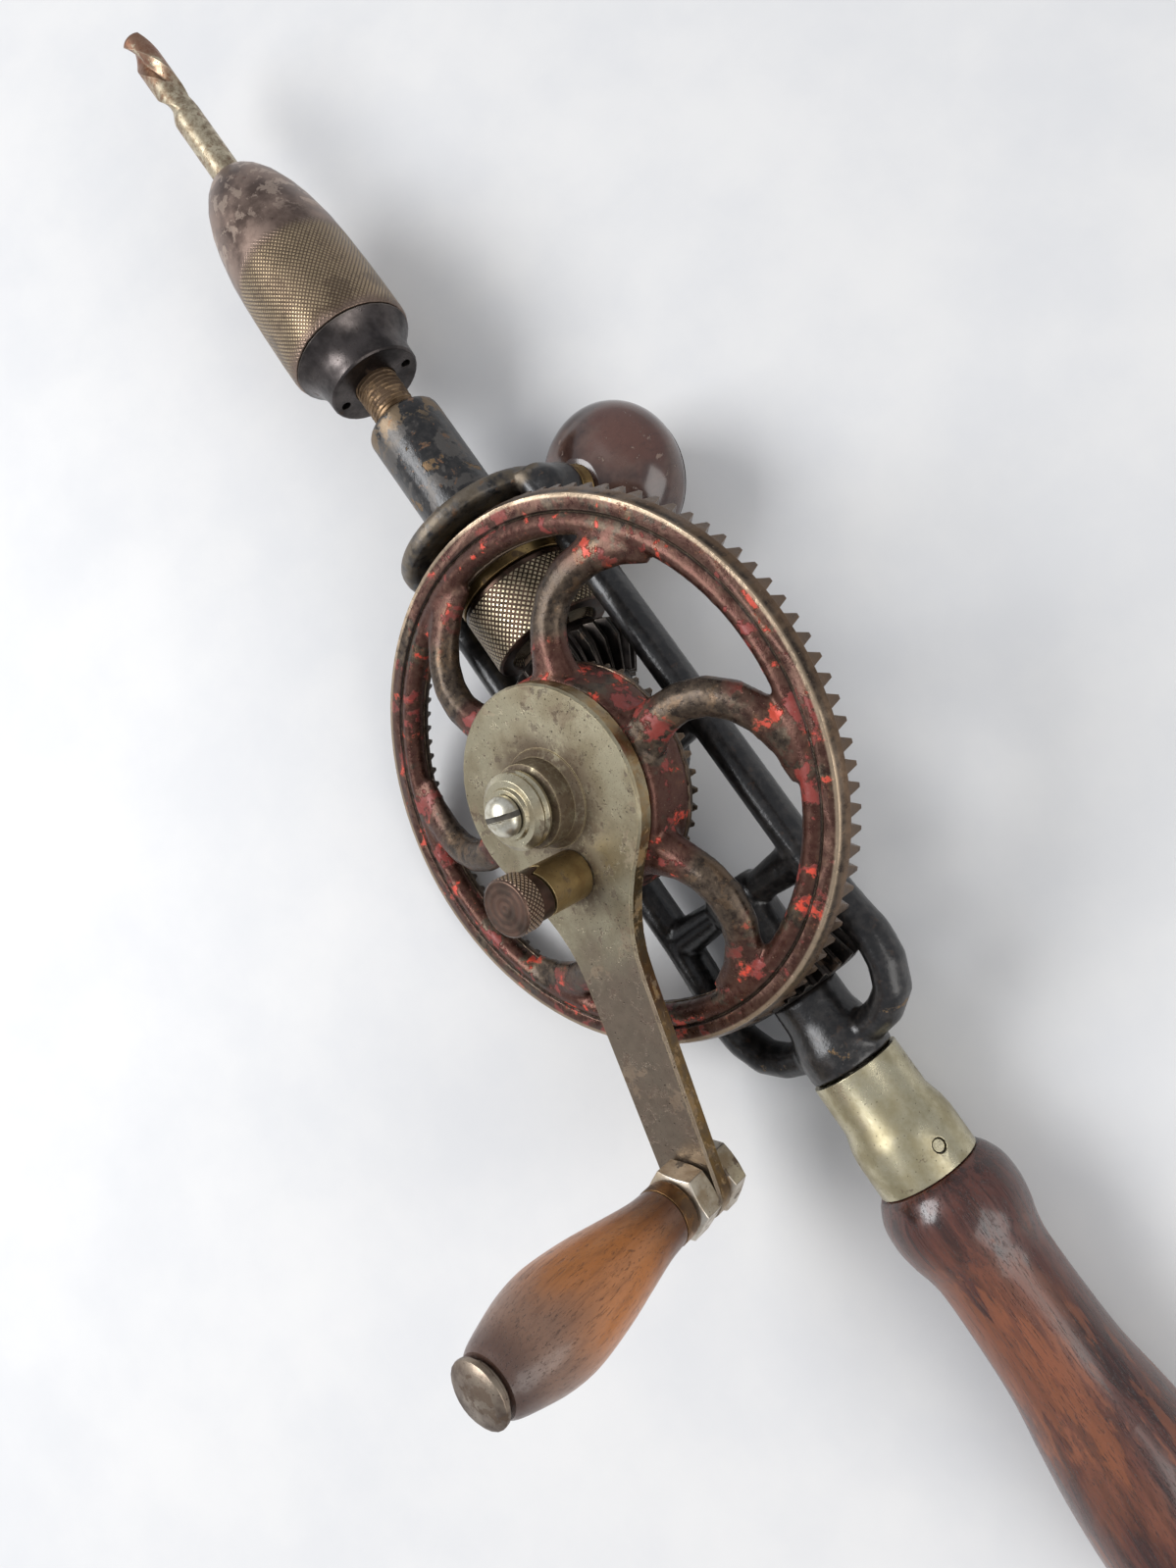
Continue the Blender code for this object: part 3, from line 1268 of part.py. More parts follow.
def make_chuck(axes):
    nose_hole = BIT_RADIUS + 2 * RUN
    inner = CHUCK_RADIUS - CHUCK_WALL
    outside = [(CHUCK_RADIUS * wide, CHUCK_SHELL_REAR + CHUCK_SHELL * along) for along, wide in SHELL_SHARES]
    shell = lathe("chuck_shell", [
        (inner, CHUCK_SHELL_REAR),
        *outside,
        (CHUCK_NOSE_RADIUS, CHUCK_NOSE),
        (nose_hole, CHUCK_NOSE),
        (nose_hole, CHUCK_NOSE - CHUCK_WALL),
        (JAW_CONE_REAR_RADIUS, JAW_CONE_REAR),
        (inner, JAW_CONE_REAR),
    ], "worn_iron", FINE)
    place(shell, axes, rotation=ALONG_SPINDLE)

    core = inner - RUN
    rear = CHUCK_REAR
    rim = CHUCK_SHELL_REAR - RUN
    curve = [(CHUCK_RADIUS * wide, rear + CHUCK_COLLAR * along) for along, wide in COLLAR_SHARES]
    body = lathe("chuck_body", [
        (THREAD_RADIUS + RUN, rear),
        (CHUCK_COLLAR_RADIUS - EDGE_CHAMFER, rear),
        *curve,
        (CHUCK_RADIUS - EDGE_CHAMFER, rim),
        (core, rim),
        (core, CHUCK_CORE_FRONT),
        (BIT_RADIUS + RUN, CHUCK_CORE_FRONT),
        (BIT_RADIUS + RUN, THREAD_END + RUN),
        (THREAD_RADIUS + RUN, THREAD_END + RUN),
    ], "dark_steel", FINE)
    place(body, axes, rotation=ALONG_SPINDLE)
    for index, turn in enumerate((SPANNER_HOLE_TURN, SPANNER_HOLE_TURN + pi)):
        across = (THREAD_RADIUS + CHUCK_COLLAR_RADIUS) / 2 + RUN
        hole = lathe(
            f"spanner_hole_cutter_{index + 1}",
            rod_profile(SPANNER_HOLE_RADIUS, -OVERRUN, OVERRUN), None, 10,
        )
        place(hole, axes, (rear, across * cos(turn), across * sin(turn)), ALONG_SPINDLE)
        cut(body, hole)
    for index in range(3):
        make_jaw(axes, index)


def make_jaw(axes, index):
    """A wedge of steel between the bit and the shell's cone."""
    low_in = BIT_RADIUS + RUN
    rear_out = cone_radius(JAW_REAR) - RUN
    front_out = cone_radius(JAW_FRONT) - RUN
    steps = 5
    points = []
    rings = []
    for height, outer in ((JAW_REAR, rear_out), (JAW_FRONT, front_out)):
        loop = arc((0, 0), outer, -JAW_HALF_ANGLE, JAW_HALF_ANGLE, steps)
        loop += arc((0, 0), low_in, JAW_HALF_ANGLE, -JAW_HALF_ANGLE, steps)
        rings.append(range(len(points), len(points) + len(loop)))
        points += [(x, y, height) for x, y in loop]
    faces = rings_to_faces(rings, False)
    faces.append(tuple(rings[0]))
    faces.append(tuple(rings[1]))
    jaw = mesh_object(f"chuck_jaw_{index + 1}", points, faces, "bright_steel")
    turned = Matrix.Rotation(2 * pi * index / 3, 3, "X") @ Matrix.Rotation(pi / 2, 3, "Y")
    place(jaw, axes, rotation=turned.to_euler())


def make_bit(axes):
    """A twist bit: a round shank, and two flutes that wind round it up to the point."""
    sides = 24
    start = BIT_TIP - BIT_FLUTE_LENGTH
    point_length = BIT_RADIUS * BIT_POINT_SHARE
    stations = [(BIT_REAR, 0.0, 1.0), (start, 0.0, 1.0)]
    steps = 14
    for step in range(1, steps + 1):
        share = step / steps
        along = start + (BIT_FLUTE_LENGTH - point_length) * share
        stations.append((along, min(1.0, share * 4), 1.0))
    stations.append((BIT_TIP, 1.0, BIT_CHISEL_SHARE))
    points = []
    rings = []
    for along, fluted, size in stations:
        twist = 2 * pi * max(0.0, along - start) / BIT_FLUTE_PITCH
        ring = []
        for side in range(sides):
            angle = 2 * pi * side / sides
            hollow = max(0.0, cos(2 * angle)) ** FLUTE_ROUNDING
            radius = BIT_RADIUS * size * (1 - FLUTE_DEPTH_SHARE * fluted * hollow)
            ring.append(len(points))
            points.append((radius * cos(angle - twist), radius * sin(angle - twist), along))
        rings.append(ring)
    faces = rings_to_faces(rings, False)
    faces.append(tuple(rings[0]))
    faces.append(tuple(rings[-1]))
    bit = mesh_object("drill_bit", points, faces, "bright_steel")
    place(bit, axes, rotation=ALONG_SPINDLE)


# Main handle: ferrule, tang, pin and wood
# From the ferrule's end: share of the wood's length, share of its largest radius
HANDLE_SHARES = [
    (0.000, 0.72), (0.015, 0.80), (0.045, 0.885), (0.085, 0.905), (0.125, 0.865), (0.165, 0.79),
    (0.205, 0.755), (0.300, 0.755), (0.410, 0.785), (0.500, 0.87), (0.600, 0.955), (0.710, 1.00),
    (0.810, 0.985), (0.890, 0.90), (0.950, 0.74), (0.985, 0.50), (1.000, 0.22),
]


# Along the ferrule: where it leaves its small radius, bends, and meets its large one
FERRULE_SHARES = (0.42, 0.56, 0.66)
FERRULE_BEND_SHARE = 0.75


def make_handle(axes):
    top = FRAME_END - RUN
    length = top - FERRULE_END
    small = FRAME_END_RADIUS + RUN
    wall = FERRULE_WALL
    leave, bend, meet = [top - length * share for share in FERRULE_SHARES]
    ferrule = lathe("handle_ferrule", [
        (small - wall, top),
        (small, top),
        (small, leave),
        (small + (FERRULE_RADIUS - small) * FERRULE_BEND_SHARE, bend),
        (FERRULE_RADIUS, meet),
        (FERRULE_RADIUS, FERRULE_END),
        (FERRULE_RADIUS - wall, FERRULE_END),
        (FERRULE_RADIUS - wall, meet),
        (small - wall, leave),
    ], "nickel", FINE)
    place(ferrule, axes, rotation=ALONG_SPINDLE)

    wood_top = FERRULE_END - RUN
    wood_length = wood_top - HANDLE_END
    outside = [(HANDLE_RADIUS * wide, wood_top - wood_length * along) for along, wide in HANDLE_SHARES]
    hole = TANG_RADIUS + RUN
    handle = lathe("main_handle", [
        (0, TANG_END - RUN),
        (hole, TANG_END - RUN),
        (hole, top - RUN),
        (small - wall - RUN, top - RUN),
        (small - wall - RUN, leave),
        (FERRULE_RADIUS - wall - RUN, meet - RUN),
        (FERRULE_RADIUS - wall - RUN, wood_top),
        *outside,
        (0, HANDLE_END),
    ], "red_wood", ROUND)
    place(handle, axes, rotation=ALONG_SPINDLE)

    tang = lathe(
        "handle_tang", rod_profile(TANG_RADIUS, TANG_END, LOOP_BOTTOM - OVERRUN - RUN), "dark_steel", SMALL
    )
    place(tang, axes, rotation=ALONG_SPINDLE)

    pin_place = top - length * FERRULE_PIN_SHARE
    pin_hole = FERRULE_PIN_RADIUS + RUN
    reach = FERRULE_RADIUS + OVERRUN
    across = Matrix.Rotation(FERRULE_PIN_TURN, 3, "X").to_euler()
    pin = lathe("ferrule_pin", rod_profile(
        FERRULE_PIN_RADIUS, -FERRULE_RADIUS + EDGE_CHAMFER, FERRULE_RADIUS - EDGE_CHAMFER), "dark_steel", 12)
    place(pin, axes, (pin_place, 0, 0), across)
    for target in (ferrule, handle, tang):
        drill = lathe(target.name + "_pin_hole_cutter", rod_profile(pin_hole, -reach, reach), None, 12)
        place(drill, axes, (pin_place, 0, 0), across)
        cut(target, drill)


# Side knob: stud, ferrule and turned knob
# From the ferrule: share of the knob's depth, share of its radius
KNOB_SHARES = [
    (0.00, 0.34), (0.05, 0.46), (0.13, 0.66), (0.24, 0.84), (0.37, 0.96), (0.50, 1.00),
    (0.63, 0.97), (0.75, 0.88), (0.86, 0.72), (0.94, 0.51), (0.985, 0.27),
]


def make_side_knob(axes):
    at = empty("side_knob_axis", axes, (SHOULDER_PLACE, KNOB_SIDE, 0), ALONG_BACK)
    hole = KNOB_STUD_RADIUS + RUN
    front = -KNOB_FRONT
    stud_end = front + KNOB_DEPTH * KNOB_STUD_SHARE
    wood = [(KNOB_RADIUS * wide, front + KNOB_DEPTH * along) for along, wide in KNOB_SHARES]
    knob = lathe("side_knob", [
        (0, stud_end + RUN), (hole, stud_end + RUN), (hole, front), *wood, (0, -KNOB_BACK),
    ], "plum_wood", FINE)
    low = -KNOB_FERRULE_FRONT
    ferrule = lathe("side_knob_ferrule", [
        (hole, low),
        (KNOB_FERRULE_RADIUS, low),
        (KNOB_FERRULE_RADIUS, low + KNOB_FERRULE / 3),
        (KNOB_FERRULE_RADIUS * KNOB_WAIST_SHARE, low + KNOB_FERRULE / 2),
        (KNOB_FERRULE_RADIUS, low + KNOB_FERRULE),
        (hole, low + KNOB_FERRULE),
    ], "brass")
    stud = lathe(
        "side_knob_stud", rod_profile(KNOB_STUD_RADIUS, -KNOB_STUD_TOP, stud_end, EDGE_CHAMFER),
        "bright_steel", SMALL,
    )
    for piece in (knob, ferrule, stud):
        place(piece, at)


def solid_points(names=None):
    """Corner points of the finished pieces, or of the ones named."""
    graph = bpy.context.evaluated_depsgraph_get()
    points = []
    for obj in bpy.data.objects:
        if obj.type != "MESH" or obj.hide_render or (names and obj.name not in names):
            continue
        shape = obj.evaluated_get(graph)
        points += [shape.matrix_world @ vertex.co for vertex in shape.data.vertices]
    return points


def lay_down(axes):
    """Rests the drill on three pieces and sets the middle of its box over the origin."""
    bpy.context.view_layer.update()
    feet = [solid_points([name]) for name in RESTS_ON]
    up = Vector(REST_UP_SHARES)
    for step in range(REST_STEPS):
        lowest = [min(points, key=up.dot) for points in feet]
        level = (lowest[1] - lowest[0]).cross(lowest[2] - lowest[0]).normalized()
        up = level if level.dot(up) > 0 else -level
    ahead = (Vector((1, 0, 0)) - up * up.x).normalized()
    axes.matrix_world = Matrix((ahead, up.cross(ahead), up)).to_4x4()
    bpy.context.view_layer.update()
    points = solid_points()
    low = Vector([min(point[axis] for point in points) for axis in range(3)])
    high = Vector([max(point[axis] for point in points) for axis in range(3)])
    middle = (low + high) / 2
    axes.location = (-middle.x, -middle.y, -low.z)
    bpy.context.view_layer.update()


def main():
    for obj in list(bpy.data.objects):
        bpy.data.objects.remove(obj, do_unlink=True)
    axes = empty("drill_axes")
    crank_axes = empty("crank_axes", axes, rotation=(0, 0, CRANK_ANGLE))
    make_frame(axes)
    make_gear_wheel(axes)
    make_ratchet_ring(axes)
    make_axle(axes)
    make_crank(crank_axes)
    make_selector(crank_axes)
    make_grip(crank_axes)
    spindle = make_spindle(axes)
    make_fast_pinion(axes)
    make_slow_pinion(axes)
    make_shifter(axes, spindle)
    make_idler(axes)
    make_chuck(axes)
    make_bit(axes)
    make_handle(axes)
    make_side_knob(axes)
    lay_down(axes)


main()
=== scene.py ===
"""How the old hand drill looks: worn paint, aged nickel, knurled steel and turned wood.

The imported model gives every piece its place. Each piece that shows is a smooth copy of
its CAD node, or is made here in finer form, and gets a material made of nodes. Sizes in
this script are in millimetres in the drill's own frame (x along the spindle, z along the
wheel's axle), unless a line says otherwise.
"""

import json
from math import cos, hypot, pi, radians, sin

import bmesh
import bpy
from mathutils import Matrix, Vector

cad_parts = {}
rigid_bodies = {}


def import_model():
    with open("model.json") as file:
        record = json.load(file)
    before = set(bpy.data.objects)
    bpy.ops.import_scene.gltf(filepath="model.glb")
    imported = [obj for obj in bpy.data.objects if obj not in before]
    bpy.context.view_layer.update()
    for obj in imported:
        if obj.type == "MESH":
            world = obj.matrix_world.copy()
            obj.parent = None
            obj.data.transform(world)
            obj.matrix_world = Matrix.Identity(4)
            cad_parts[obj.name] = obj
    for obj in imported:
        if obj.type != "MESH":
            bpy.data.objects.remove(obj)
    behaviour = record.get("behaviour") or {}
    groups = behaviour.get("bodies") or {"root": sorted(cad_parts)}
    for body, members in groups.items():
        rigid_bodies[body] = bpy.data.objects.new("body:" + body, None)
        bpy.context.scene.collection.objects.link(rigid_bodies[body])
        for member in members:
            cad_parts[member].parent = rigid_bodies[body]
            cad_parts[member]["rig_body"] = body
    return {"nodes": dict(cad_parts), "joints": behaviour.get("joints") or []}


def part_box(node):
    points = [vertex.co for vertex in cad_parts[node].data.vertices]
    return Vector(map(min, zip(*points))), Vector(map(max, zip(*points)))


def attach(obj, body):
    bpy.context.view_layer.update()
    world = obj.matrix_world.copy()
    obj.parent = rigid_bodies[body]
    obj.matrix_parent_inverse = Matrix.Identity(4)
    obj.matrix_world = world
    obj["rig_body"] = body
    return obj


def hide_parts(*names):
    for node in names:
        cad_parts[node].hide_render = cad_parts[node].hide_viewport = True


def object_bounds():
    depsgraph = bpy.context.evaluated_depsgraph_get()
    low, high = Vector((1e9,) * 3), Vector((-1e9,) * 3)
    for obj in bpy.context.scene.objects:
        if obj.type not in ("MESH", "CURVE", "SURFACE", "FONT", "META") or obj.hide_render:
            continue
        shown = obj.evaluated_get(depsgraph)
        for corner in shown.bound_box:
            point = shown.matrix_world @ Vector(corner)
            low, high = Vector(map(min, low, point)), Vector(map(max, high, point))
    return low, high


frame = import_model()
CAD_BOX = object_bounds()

MM = 0.001

# The drill's own frame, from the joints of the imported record
JOINTS = {joint["name"]: joint for joint in frame["joints"]}
AHEAD = Vector(JOINTS["spindle_spin"]["axis"]).normalized()
ALONG_AXLE = Vector(JOINTS["crank_spin"]["axis"]).normalized()
APEX = Vector(JOINTS["crank_spin"]["pos_m"])


def axes_at(point, x_axis, z_axis):
    """A part's frame in the row frame, in metres: point and its x and z directions."""
    turn = Matrix((x_axis, z_axis.cross(x_axis), z_axis)).transposed()
    return Matrix.Translation(point) @ turn.to_4x4()


DRILL = axes_at(APEX, AHEAD, ALONG_AXLE)
SPINDLE = axes_at(APEX, -ALONG_AXLE, AHEAD)
CRANK_PIN = Vector(JOINTS["grip_spin"]["pos_m"])
ARM = (CRANK_PIN - APEX - ALONG_AXLE * (CRANK_PIN - APEX).dot(ALONG_AXLE)).normalized()
CRANK = axes_at(APEX, ARM, ALONG_AXLE)
GRIP = axes_at(CRANK_PIN, ARM, ALONG_AXLE)
SELECTOR = axes_at(Vector(JOINTS["selector_turn"]["pos_m"]), ARM, ALONG_AXLE)


def knob_axes():
    low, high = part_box("side_knob_ferrule")
    middle = (low + high) / 2
    return axes_at(middle, AHEAD, -ALONG_AXLE)


KNOB = knob_axes()


# Node helpers
def shade(red, green, blue):
    """A colour given as it looks on a screen, 0 to 255."""
    made = []
    for value in (red, green, blue):
        part = value / 255
        made.append(part / 12.92 if part <= 0.04045 else ((part + 0.055) / 1.055) ** 2.4)
    return (*made, 1)


class Nodes:
    """A node tree, with short calls for the nodes that the materials use."""

    def __init__(self, tree):
        self.tree = tree

    def node(self, kind, **settings):
        made = self.tree.nodes.new(kind)
        for name, value in settings.items():
            setattr(made, name, value)
        return made

    def put(self, socket, value):
        if isinstance(value, bpy.types.NodeSocket):
            self.tree.links.new(value, socket)
        elif value is not None:
            socket.default_value = value

    def math(self, operation, first, second=None, third=None, clamp=False):
        made = self.node("ShaderNodeMath", operation=operation, use_clamp=clamp)
        for index, value in enumerate((first, second, third)):
            self.put(made.inputs[index], value)
        return made.outputs[0]

    def add(self, first, second):
        return self.math("ADD", first, second)

    def less(self, first, second):
        return self.math("SUBTRACT", first, second)

    def times(self, *values):
        total = values[0]
        for value in values[1:]:
            total = self.math("MULTIPLY", total, value)
        return total

    def most(self, *values):
        total = values[0]
        for value in values[1:]:
            total = self.math("MAXIMUM", total, value)
        return total

    def span(self, value, low, high, first=0.0, last=1.0):
        """value carried smoothly from low..high to first..last."""
        made = self.node("ShaderNodeMapRange", interpolation_type="SMOOTHSTEP")
        for socket, setting in zip(made.inputs, (value, low, high, first, last)):
            self.put(socket, setting)
        return made.outputs[0]

    def within(self, value, low, high, soft):
        """1 between low and high, falling to 0 over soft on both sides."""
        rise = self.span(value, low - soft, low + soft)
        return self.times(rise, self.span(value, high - soft, high + soft, 1.0, 0.0))

    def noise(self, vector, scale, detail=4.0, roughness=0.6, distortion=0.0):
        made = self.node("ShaderNodeTexNoise")
        self.put(made.inputs["Vector"], vector)
        made.inputs["Scale"].default_value = scale
        made.inputs["Detail"].default_value = detail
        made.inputs["Roughness"].default_value = roughness
        made.inputs["Distortion"].default_value = distortion
        return made.outputs["Fac"]

    def spots(self, vector, scale, size):
        """Small round spots, scattered."""
        made = self.node("ShaderNodeTexVoronoi")
        self.put(made.inputs["Vector"], vector)
        made.inputs["Scale"].default_value = scale
        return self.span(made.outputs["Distance"], size * 0.6, size, 1.0, 0.0)

    def stretched(self, vector, x, y, z):
        made = self.node("ShaderNodeVectorMath", operation="MULTIPLY")
        self.put(made.inputs[0], vector)
        made.inputs[1].default_value = (x, y, z)
        return made.outputs[0]

    def parts(self, vector):
        made = self.node("ShaderNodeSeparateXYZ")
        self.put(made.inputs[0], vector)
        return made.outputs

    def mix(self, factor, first, second):
        made = self.node("ShaderNodeMix", data_type="RGBA")
        self.put(made.inputs[0], factor)
        self.put(made.inputs[6], first)
        self.put(made.inputs[7], second)
        return made.outputs[2]

    def bump(self, height, depth, normal=None):
        """depth is in millimetres for a height from 0 to 1."""
        made = self.node("ShaderNodeBump")
        made.inputs["Distance"].default_value = depth * MM
        made.inputs["Strength"].default_value = 1.0
        self.put(made.inputs["Height"], height)
        self.put(made.inputs["Normal"], normal)
        return made.outputs[0]

    def from_axis(self, x, y):
        return self.math("SQRT", self.add(self.times(x, x), self.times(y, y)))

    def coordinates(self, axes):
        """Places on the piece in millimetres, in the given part's frame."""
        source = self.node("ShaderNodeTexCoord")
        mapping = self.node("ShaderNodeMapping")
        back = axes.inverted()
        mapping.inputs["Location"].default_value = back.translation / MM
        mapping.inputs["Rotation"].default_value = back.to_euler("XYZ")
        mapping.inputs["Scale"].default_value = (1 / MM,) * 3
        self.tree.links.new(source.outputs["Object"], mapping.inputs["Vector"])
        return mapping.outputs[0]

    def group(self, tree, **inputs):
        made = self.node("ShaderNodeGroup", node_tree=tree)
        for name, value in inputs.items():
            self.put(made.inputs[name.replace("_", " ")], value)
        return made.outputs


def node_group(name, inputs, outputs):
    """An empty node group with named float or vector inputs and float outputs."""
    tree = bpy.data.node_groups.new(name, "ShaderNodeTree")
    kinds = {"vector": "NodeSocketVector", "value": "NodeSocketFloat"}
    for label, kind in inputs:
        tree.interface.new_socket(label, in_out="INPUT", socket_type=kinds[kind])
    for label in outputs:
        tree.interface.new_socket(label, in_out="OUTPUT", socket_type=kinds["value"])
    return tree, tree.nodes.new("NodeGroupInput"), tree.nodes.new("NodeGroupOutput")


def make_patches():
    """Ragged patches, as of worn paint or plating: more of them as Amount goes to 1."""
    tree, given, result = node_group(
        "ragged patches", [("Place", "vector"), ("Size", "value"), ("Amount", "value")], ["Mask"]
    )
    n = Nodes(tree)
    scaled = n.node("ShaderNodeVectorMath", operation="SCALE")
    tree.links.new(given.outputs["Place"], scaled.inputs[0])
    tree.links.new(n.math("DIVIDE", 1.0, given.outputs["Size"]), scaled.inputs["Scale"])
    broad = n.noise(scaled.outputs[0], 1.0, 3.0, 0.55, 0.4)
    fine = n.noise(scaled.outputs[0], 5.5, 6.0, 0.7)
    both = n.add(n.times(broad, 0.72), n.times(fine, 0.28))
    level = n.less(0.80, n.times(given.outputs["Amount"], 0.60))
    edge = n.less(both, level)
    tree.links.new(n.span(edge, -0.018, 0.018), result.inputs["Mask"])
    return tree


def make_knurl():
    """Diamond knurling round Z: Around is the count of diamonds, Pitch their length in mm."""
    tree, given, result = node_group(
        "diamond knurl", [("Place", "vector"), ("Around", "value"), ("Pitch", "value")], ["Height"]
    )
    n = Nodes(tree)
    x, y, z = n.parts(given.outputs["Place"])
    turn = n.math("DIVIDE", n.math("ARCTAN2", y, x), 2 * pi)
    side = n.times(turn, given.outputs["Around"])
    along = n.math("DIVIDE", z, given.outputs["Pitch"])
    ridges = []
    for slant in (n.add(side, along), n.less(side, along)):
        ridges.append(n.times(n.math("PINGPONG", slant, 0.5), 2.0))
    lower = n.math("MINIMUM", *ridges)
    tree.links.new(n.span(lower, 0.06, 0.62), result.inputs["Height"])
    return tree


def make_edge_wear():
    """1 along outer edges, from how far a rounded normal turns away from the plain one."""
    tree, given, result = node_group("edge wear", [("Width", "value")], ["Mask"])
    n = Nodes(tree)
    rounded = n.node("ShaderNodeBevel", samples=4)
    tree.links.new(given.outputs["Width"], rounded.inputs["Radius"])
    plain = n.node("ShaderNodeNewGeometry")
    dot = n.node("ShaderNodeVectorMath", operation="DOT_PRODUCT")
    tree.links.new(rounded.outputs[0], dot.inputs[0])
    tree.links.new(plain.outputs["Normal"], dot.inputs[1])
    tree.links.new(n.span(dot.outputs["Value"], 0.80, 0.99, 1.0, 0.0), result.inputs["Mask"])
    return tree


PATCHES = make_patches()
KNURL = make_knurl()
EDGES = make_edge_wear()


class Finish(Nodes):
    """A material under way: its tree, its coordinates in millimetres and its shader."""

    def __init__(self, name, axes):
        self.material = bpy.data.materials.new(name)
        self.material.use_nodes = True
        super().__init__(self.material.node_tree)
        self.shader = self.tree.nodes["Principled BSDF"]
        self.at = self.coordinates(axes)

    def patches(self, size, amount, at=None):
        return self.group(PATCHES, Place=at or self.at, Size=size, Amount=amount)["Mask"]

    def knurl(self, around, pitch):
        return self.group(KNURL, Place=self.at, Around=around, Pitch=pitch)["Height"]

    def edges(self, width):
        return self.group(EDGES, Width=width * MM)["Mask"]

    def done(self, colour, roughness, metallic, normal=None, coat=0.0, specular=0.5):
        self.put(self.shader.inputs["Base Color"], colour)
        self.put(self.shader.inputs["Roughness"], roughness)
        self.put(self.shader.inputs["Metallic"], metallic)
        self.put(self.shader.inputs["Normal"], normal)
        self.shader.inputs["Coat Weight"].default_value = coat
        self.shader.inputs["Coat Roughness"].default_value = 0.12
        self.shader.inputs["Specular IOR Level"].default_value = specular
        return self.material


# Metals
STAIN = shade(74, 56, 40)
IRON = shade(92, 70, 60)
BLACK = shade(20, 19, 19)


def aged_metal(name, axes, bright, dull, stain_amount, roughness, edge):
    """Old plated or plain metal: cloudy, stained, pitted, and rubbed bright on its edges."""
    f = Finish(name, axes)
    cloud = f.noise(f.at, 0.16, 5.0, 0.62)
    colour = f.mix(f.span(cloud, 0.36, 0.66), bright, dull)
    stain = f.patches(7.0, stain_amount)
    colour = f.mix(f.times(stain, 0.75), colour, STAIN)
    pits = f.spots(f.at, 0.9, 0.13)
    fine = f.spots(f.at, 2.3, 0.16)
    marks = f.most(pits, f.times(fine, 0.7))
    colour = f.mix(f.times(marks, 0.8), colour, shade(52, 40, 30))
    rub = f.edges(0.35)
    colour = f.mix(f.times(rub, 0.55), colour, edge or bright)
    brushed = f.noise(f.stretched(f.at, 1.0, 1.0, 7.0), 2.2, 3.0, 0.7)
    rough = f.add(f.span(cloud, 0.3, 0.7, roughness - 0.05, roughness + 0.14), f.times(stain, 0.22))
    height = f.less(f.times(brushed, 0.35), f.times(marks, 1.0))
    metal = f.span(stain, 0.0, 1.0, 0.95, 0.55)
    return f.done(colour, rough, metal, f.bump(height, 0.05))


# Places on the wheel, in millimetres from its axle
RIM_BAND = (50.6, 54.9)
RIM_GROOVE = (55.0, 55.7)
RIM_LAND = (55.6, 58.2)
RIM_LIP = (58.1, 59.2)
TEETH_FROM = (57.5, 59.2)
SPOKE_ENDS = (43.0, 49.0)
HUB_BAND = (21.5, 31.5)
# and along the axle
WHEEL_FRONT = (16.6, 17.6)
LIP_FRONT = (19.6, 20.4)
TEETH_BEHIND = (19.4, 18.4)


def wheel_finish():
    """Brown cast iron with what is left of its vermilion paint, and oily teeth."""
    f = Finish("cast_iron_red_paint", DRILL)
    x, y, z = f.parts(f.at)
    radius = f.from_axis(x, y)
    casting = f.noise(f.at, 0.6, 6.0, 0.65)
    cloud = f.noise(f.at, 0.09, 4.0, 0.6)
    colour = f.mix(f.span(casting, 0.32, 0.70), shade(50, 41, 34), shade(94, 80, 66))
    colour = f.mix(f.times(f.span(cloud, 0.42, 0.66), 0.45), colour, shade(54, 46, 38))
    tan = f.patches(5.0, 0.40)
    colour = f.mix(f.times(tan, 0.4), colour, shade(114, 91, 68))

    front = f.span(z, *WHEEL_FRONT)
    band = f.within(radius, *RIM_BAND, 0.5)
    land = f.times(f.within(radius, *RIM_LAND, 0.4), 0.55)
    hub = f.within(radius, *HUB_BAND, 1.8)
    root = f.span(radius, *SPOKE_ENDS)
    where = f.times(front, f.most(band, land, f.times(root, 0.8), hub))
    where = f.times(where, f.span(radius, RIM_LAND[1] - 0.2, RIM_LAND[1] + 0.6, 1.0, 0.0))
    washed = f.times(where, f.patches(12.0, 0.62))
    old_red = f.times(where, f.patches(7.0, 0.37))
    fresh_red = f.times(where, f.patches(5.0, 0.32))
    colour = f.mix(f.times(washed, 0.50), colour, shade(88, 42, 34))
    colour = f.mix(f.times(old_red, 0.85), colour, shade(128, 44, 36))
    colour = f.mix(f.times(fresh_red, 0.92), colour, shade(202, 66, 44))
    specks = f.most(f.spots(f.at, 0.7, 0.10), f.spots(f.at, 1.9, 0.13))
    colour = f.mix(f.times(specks, 0.6), colour, shade(150, 126, 104))

    # Painted shade: the rim's groove darkened to near black on the front
    line = f.within(radius, *RIM_GROOVE, 0.12)
    colour = f.mix(f.times(line, front, 0.85), colour, shade(30, 24, 22))
    # Painted highlight: a pale ring on the front of the rim's lip, mixed with the real wear rubbed
    # bright on the edges
    rub = f.edges(0.6)
    lip = f.times(f.within(radius, *RIM_LIP, 0.25), f.span(z, *LIP_FRONT))
    painted_highlight_and_wear = f.most(f.times(lip, 0.75), f.times(rub, 0.5))
    colour = f.mix(painted_highlight_and_wear, colour, shade(172, 152, 128))
    teeth = f.times(f.span(radius, *TEETH_FROM), f.span(z, *TEETH_BEHIND))
    oily = f.mix(casting, shade(72, 56, 44), shade(128, 102, 78))
    colour = f.mix(f.times(teeth, 0.75), colour, oily)
    paint = f.most(old_red, fresh_red)
    rough = f.add(f.span(casting, 0.3, 0.7, 0.24, 0.44), f.times(paint, 0.10))
    height = f.add(f.times(casting, 0.9), f.times(paint, 0.5))
    height = f.less(height, f.times(specks, 0.3))
    metal = f.less(0.70, f.times(paint, 0.62))
    return f.done(colour, rough, metal, f.bump(height, 0.16))


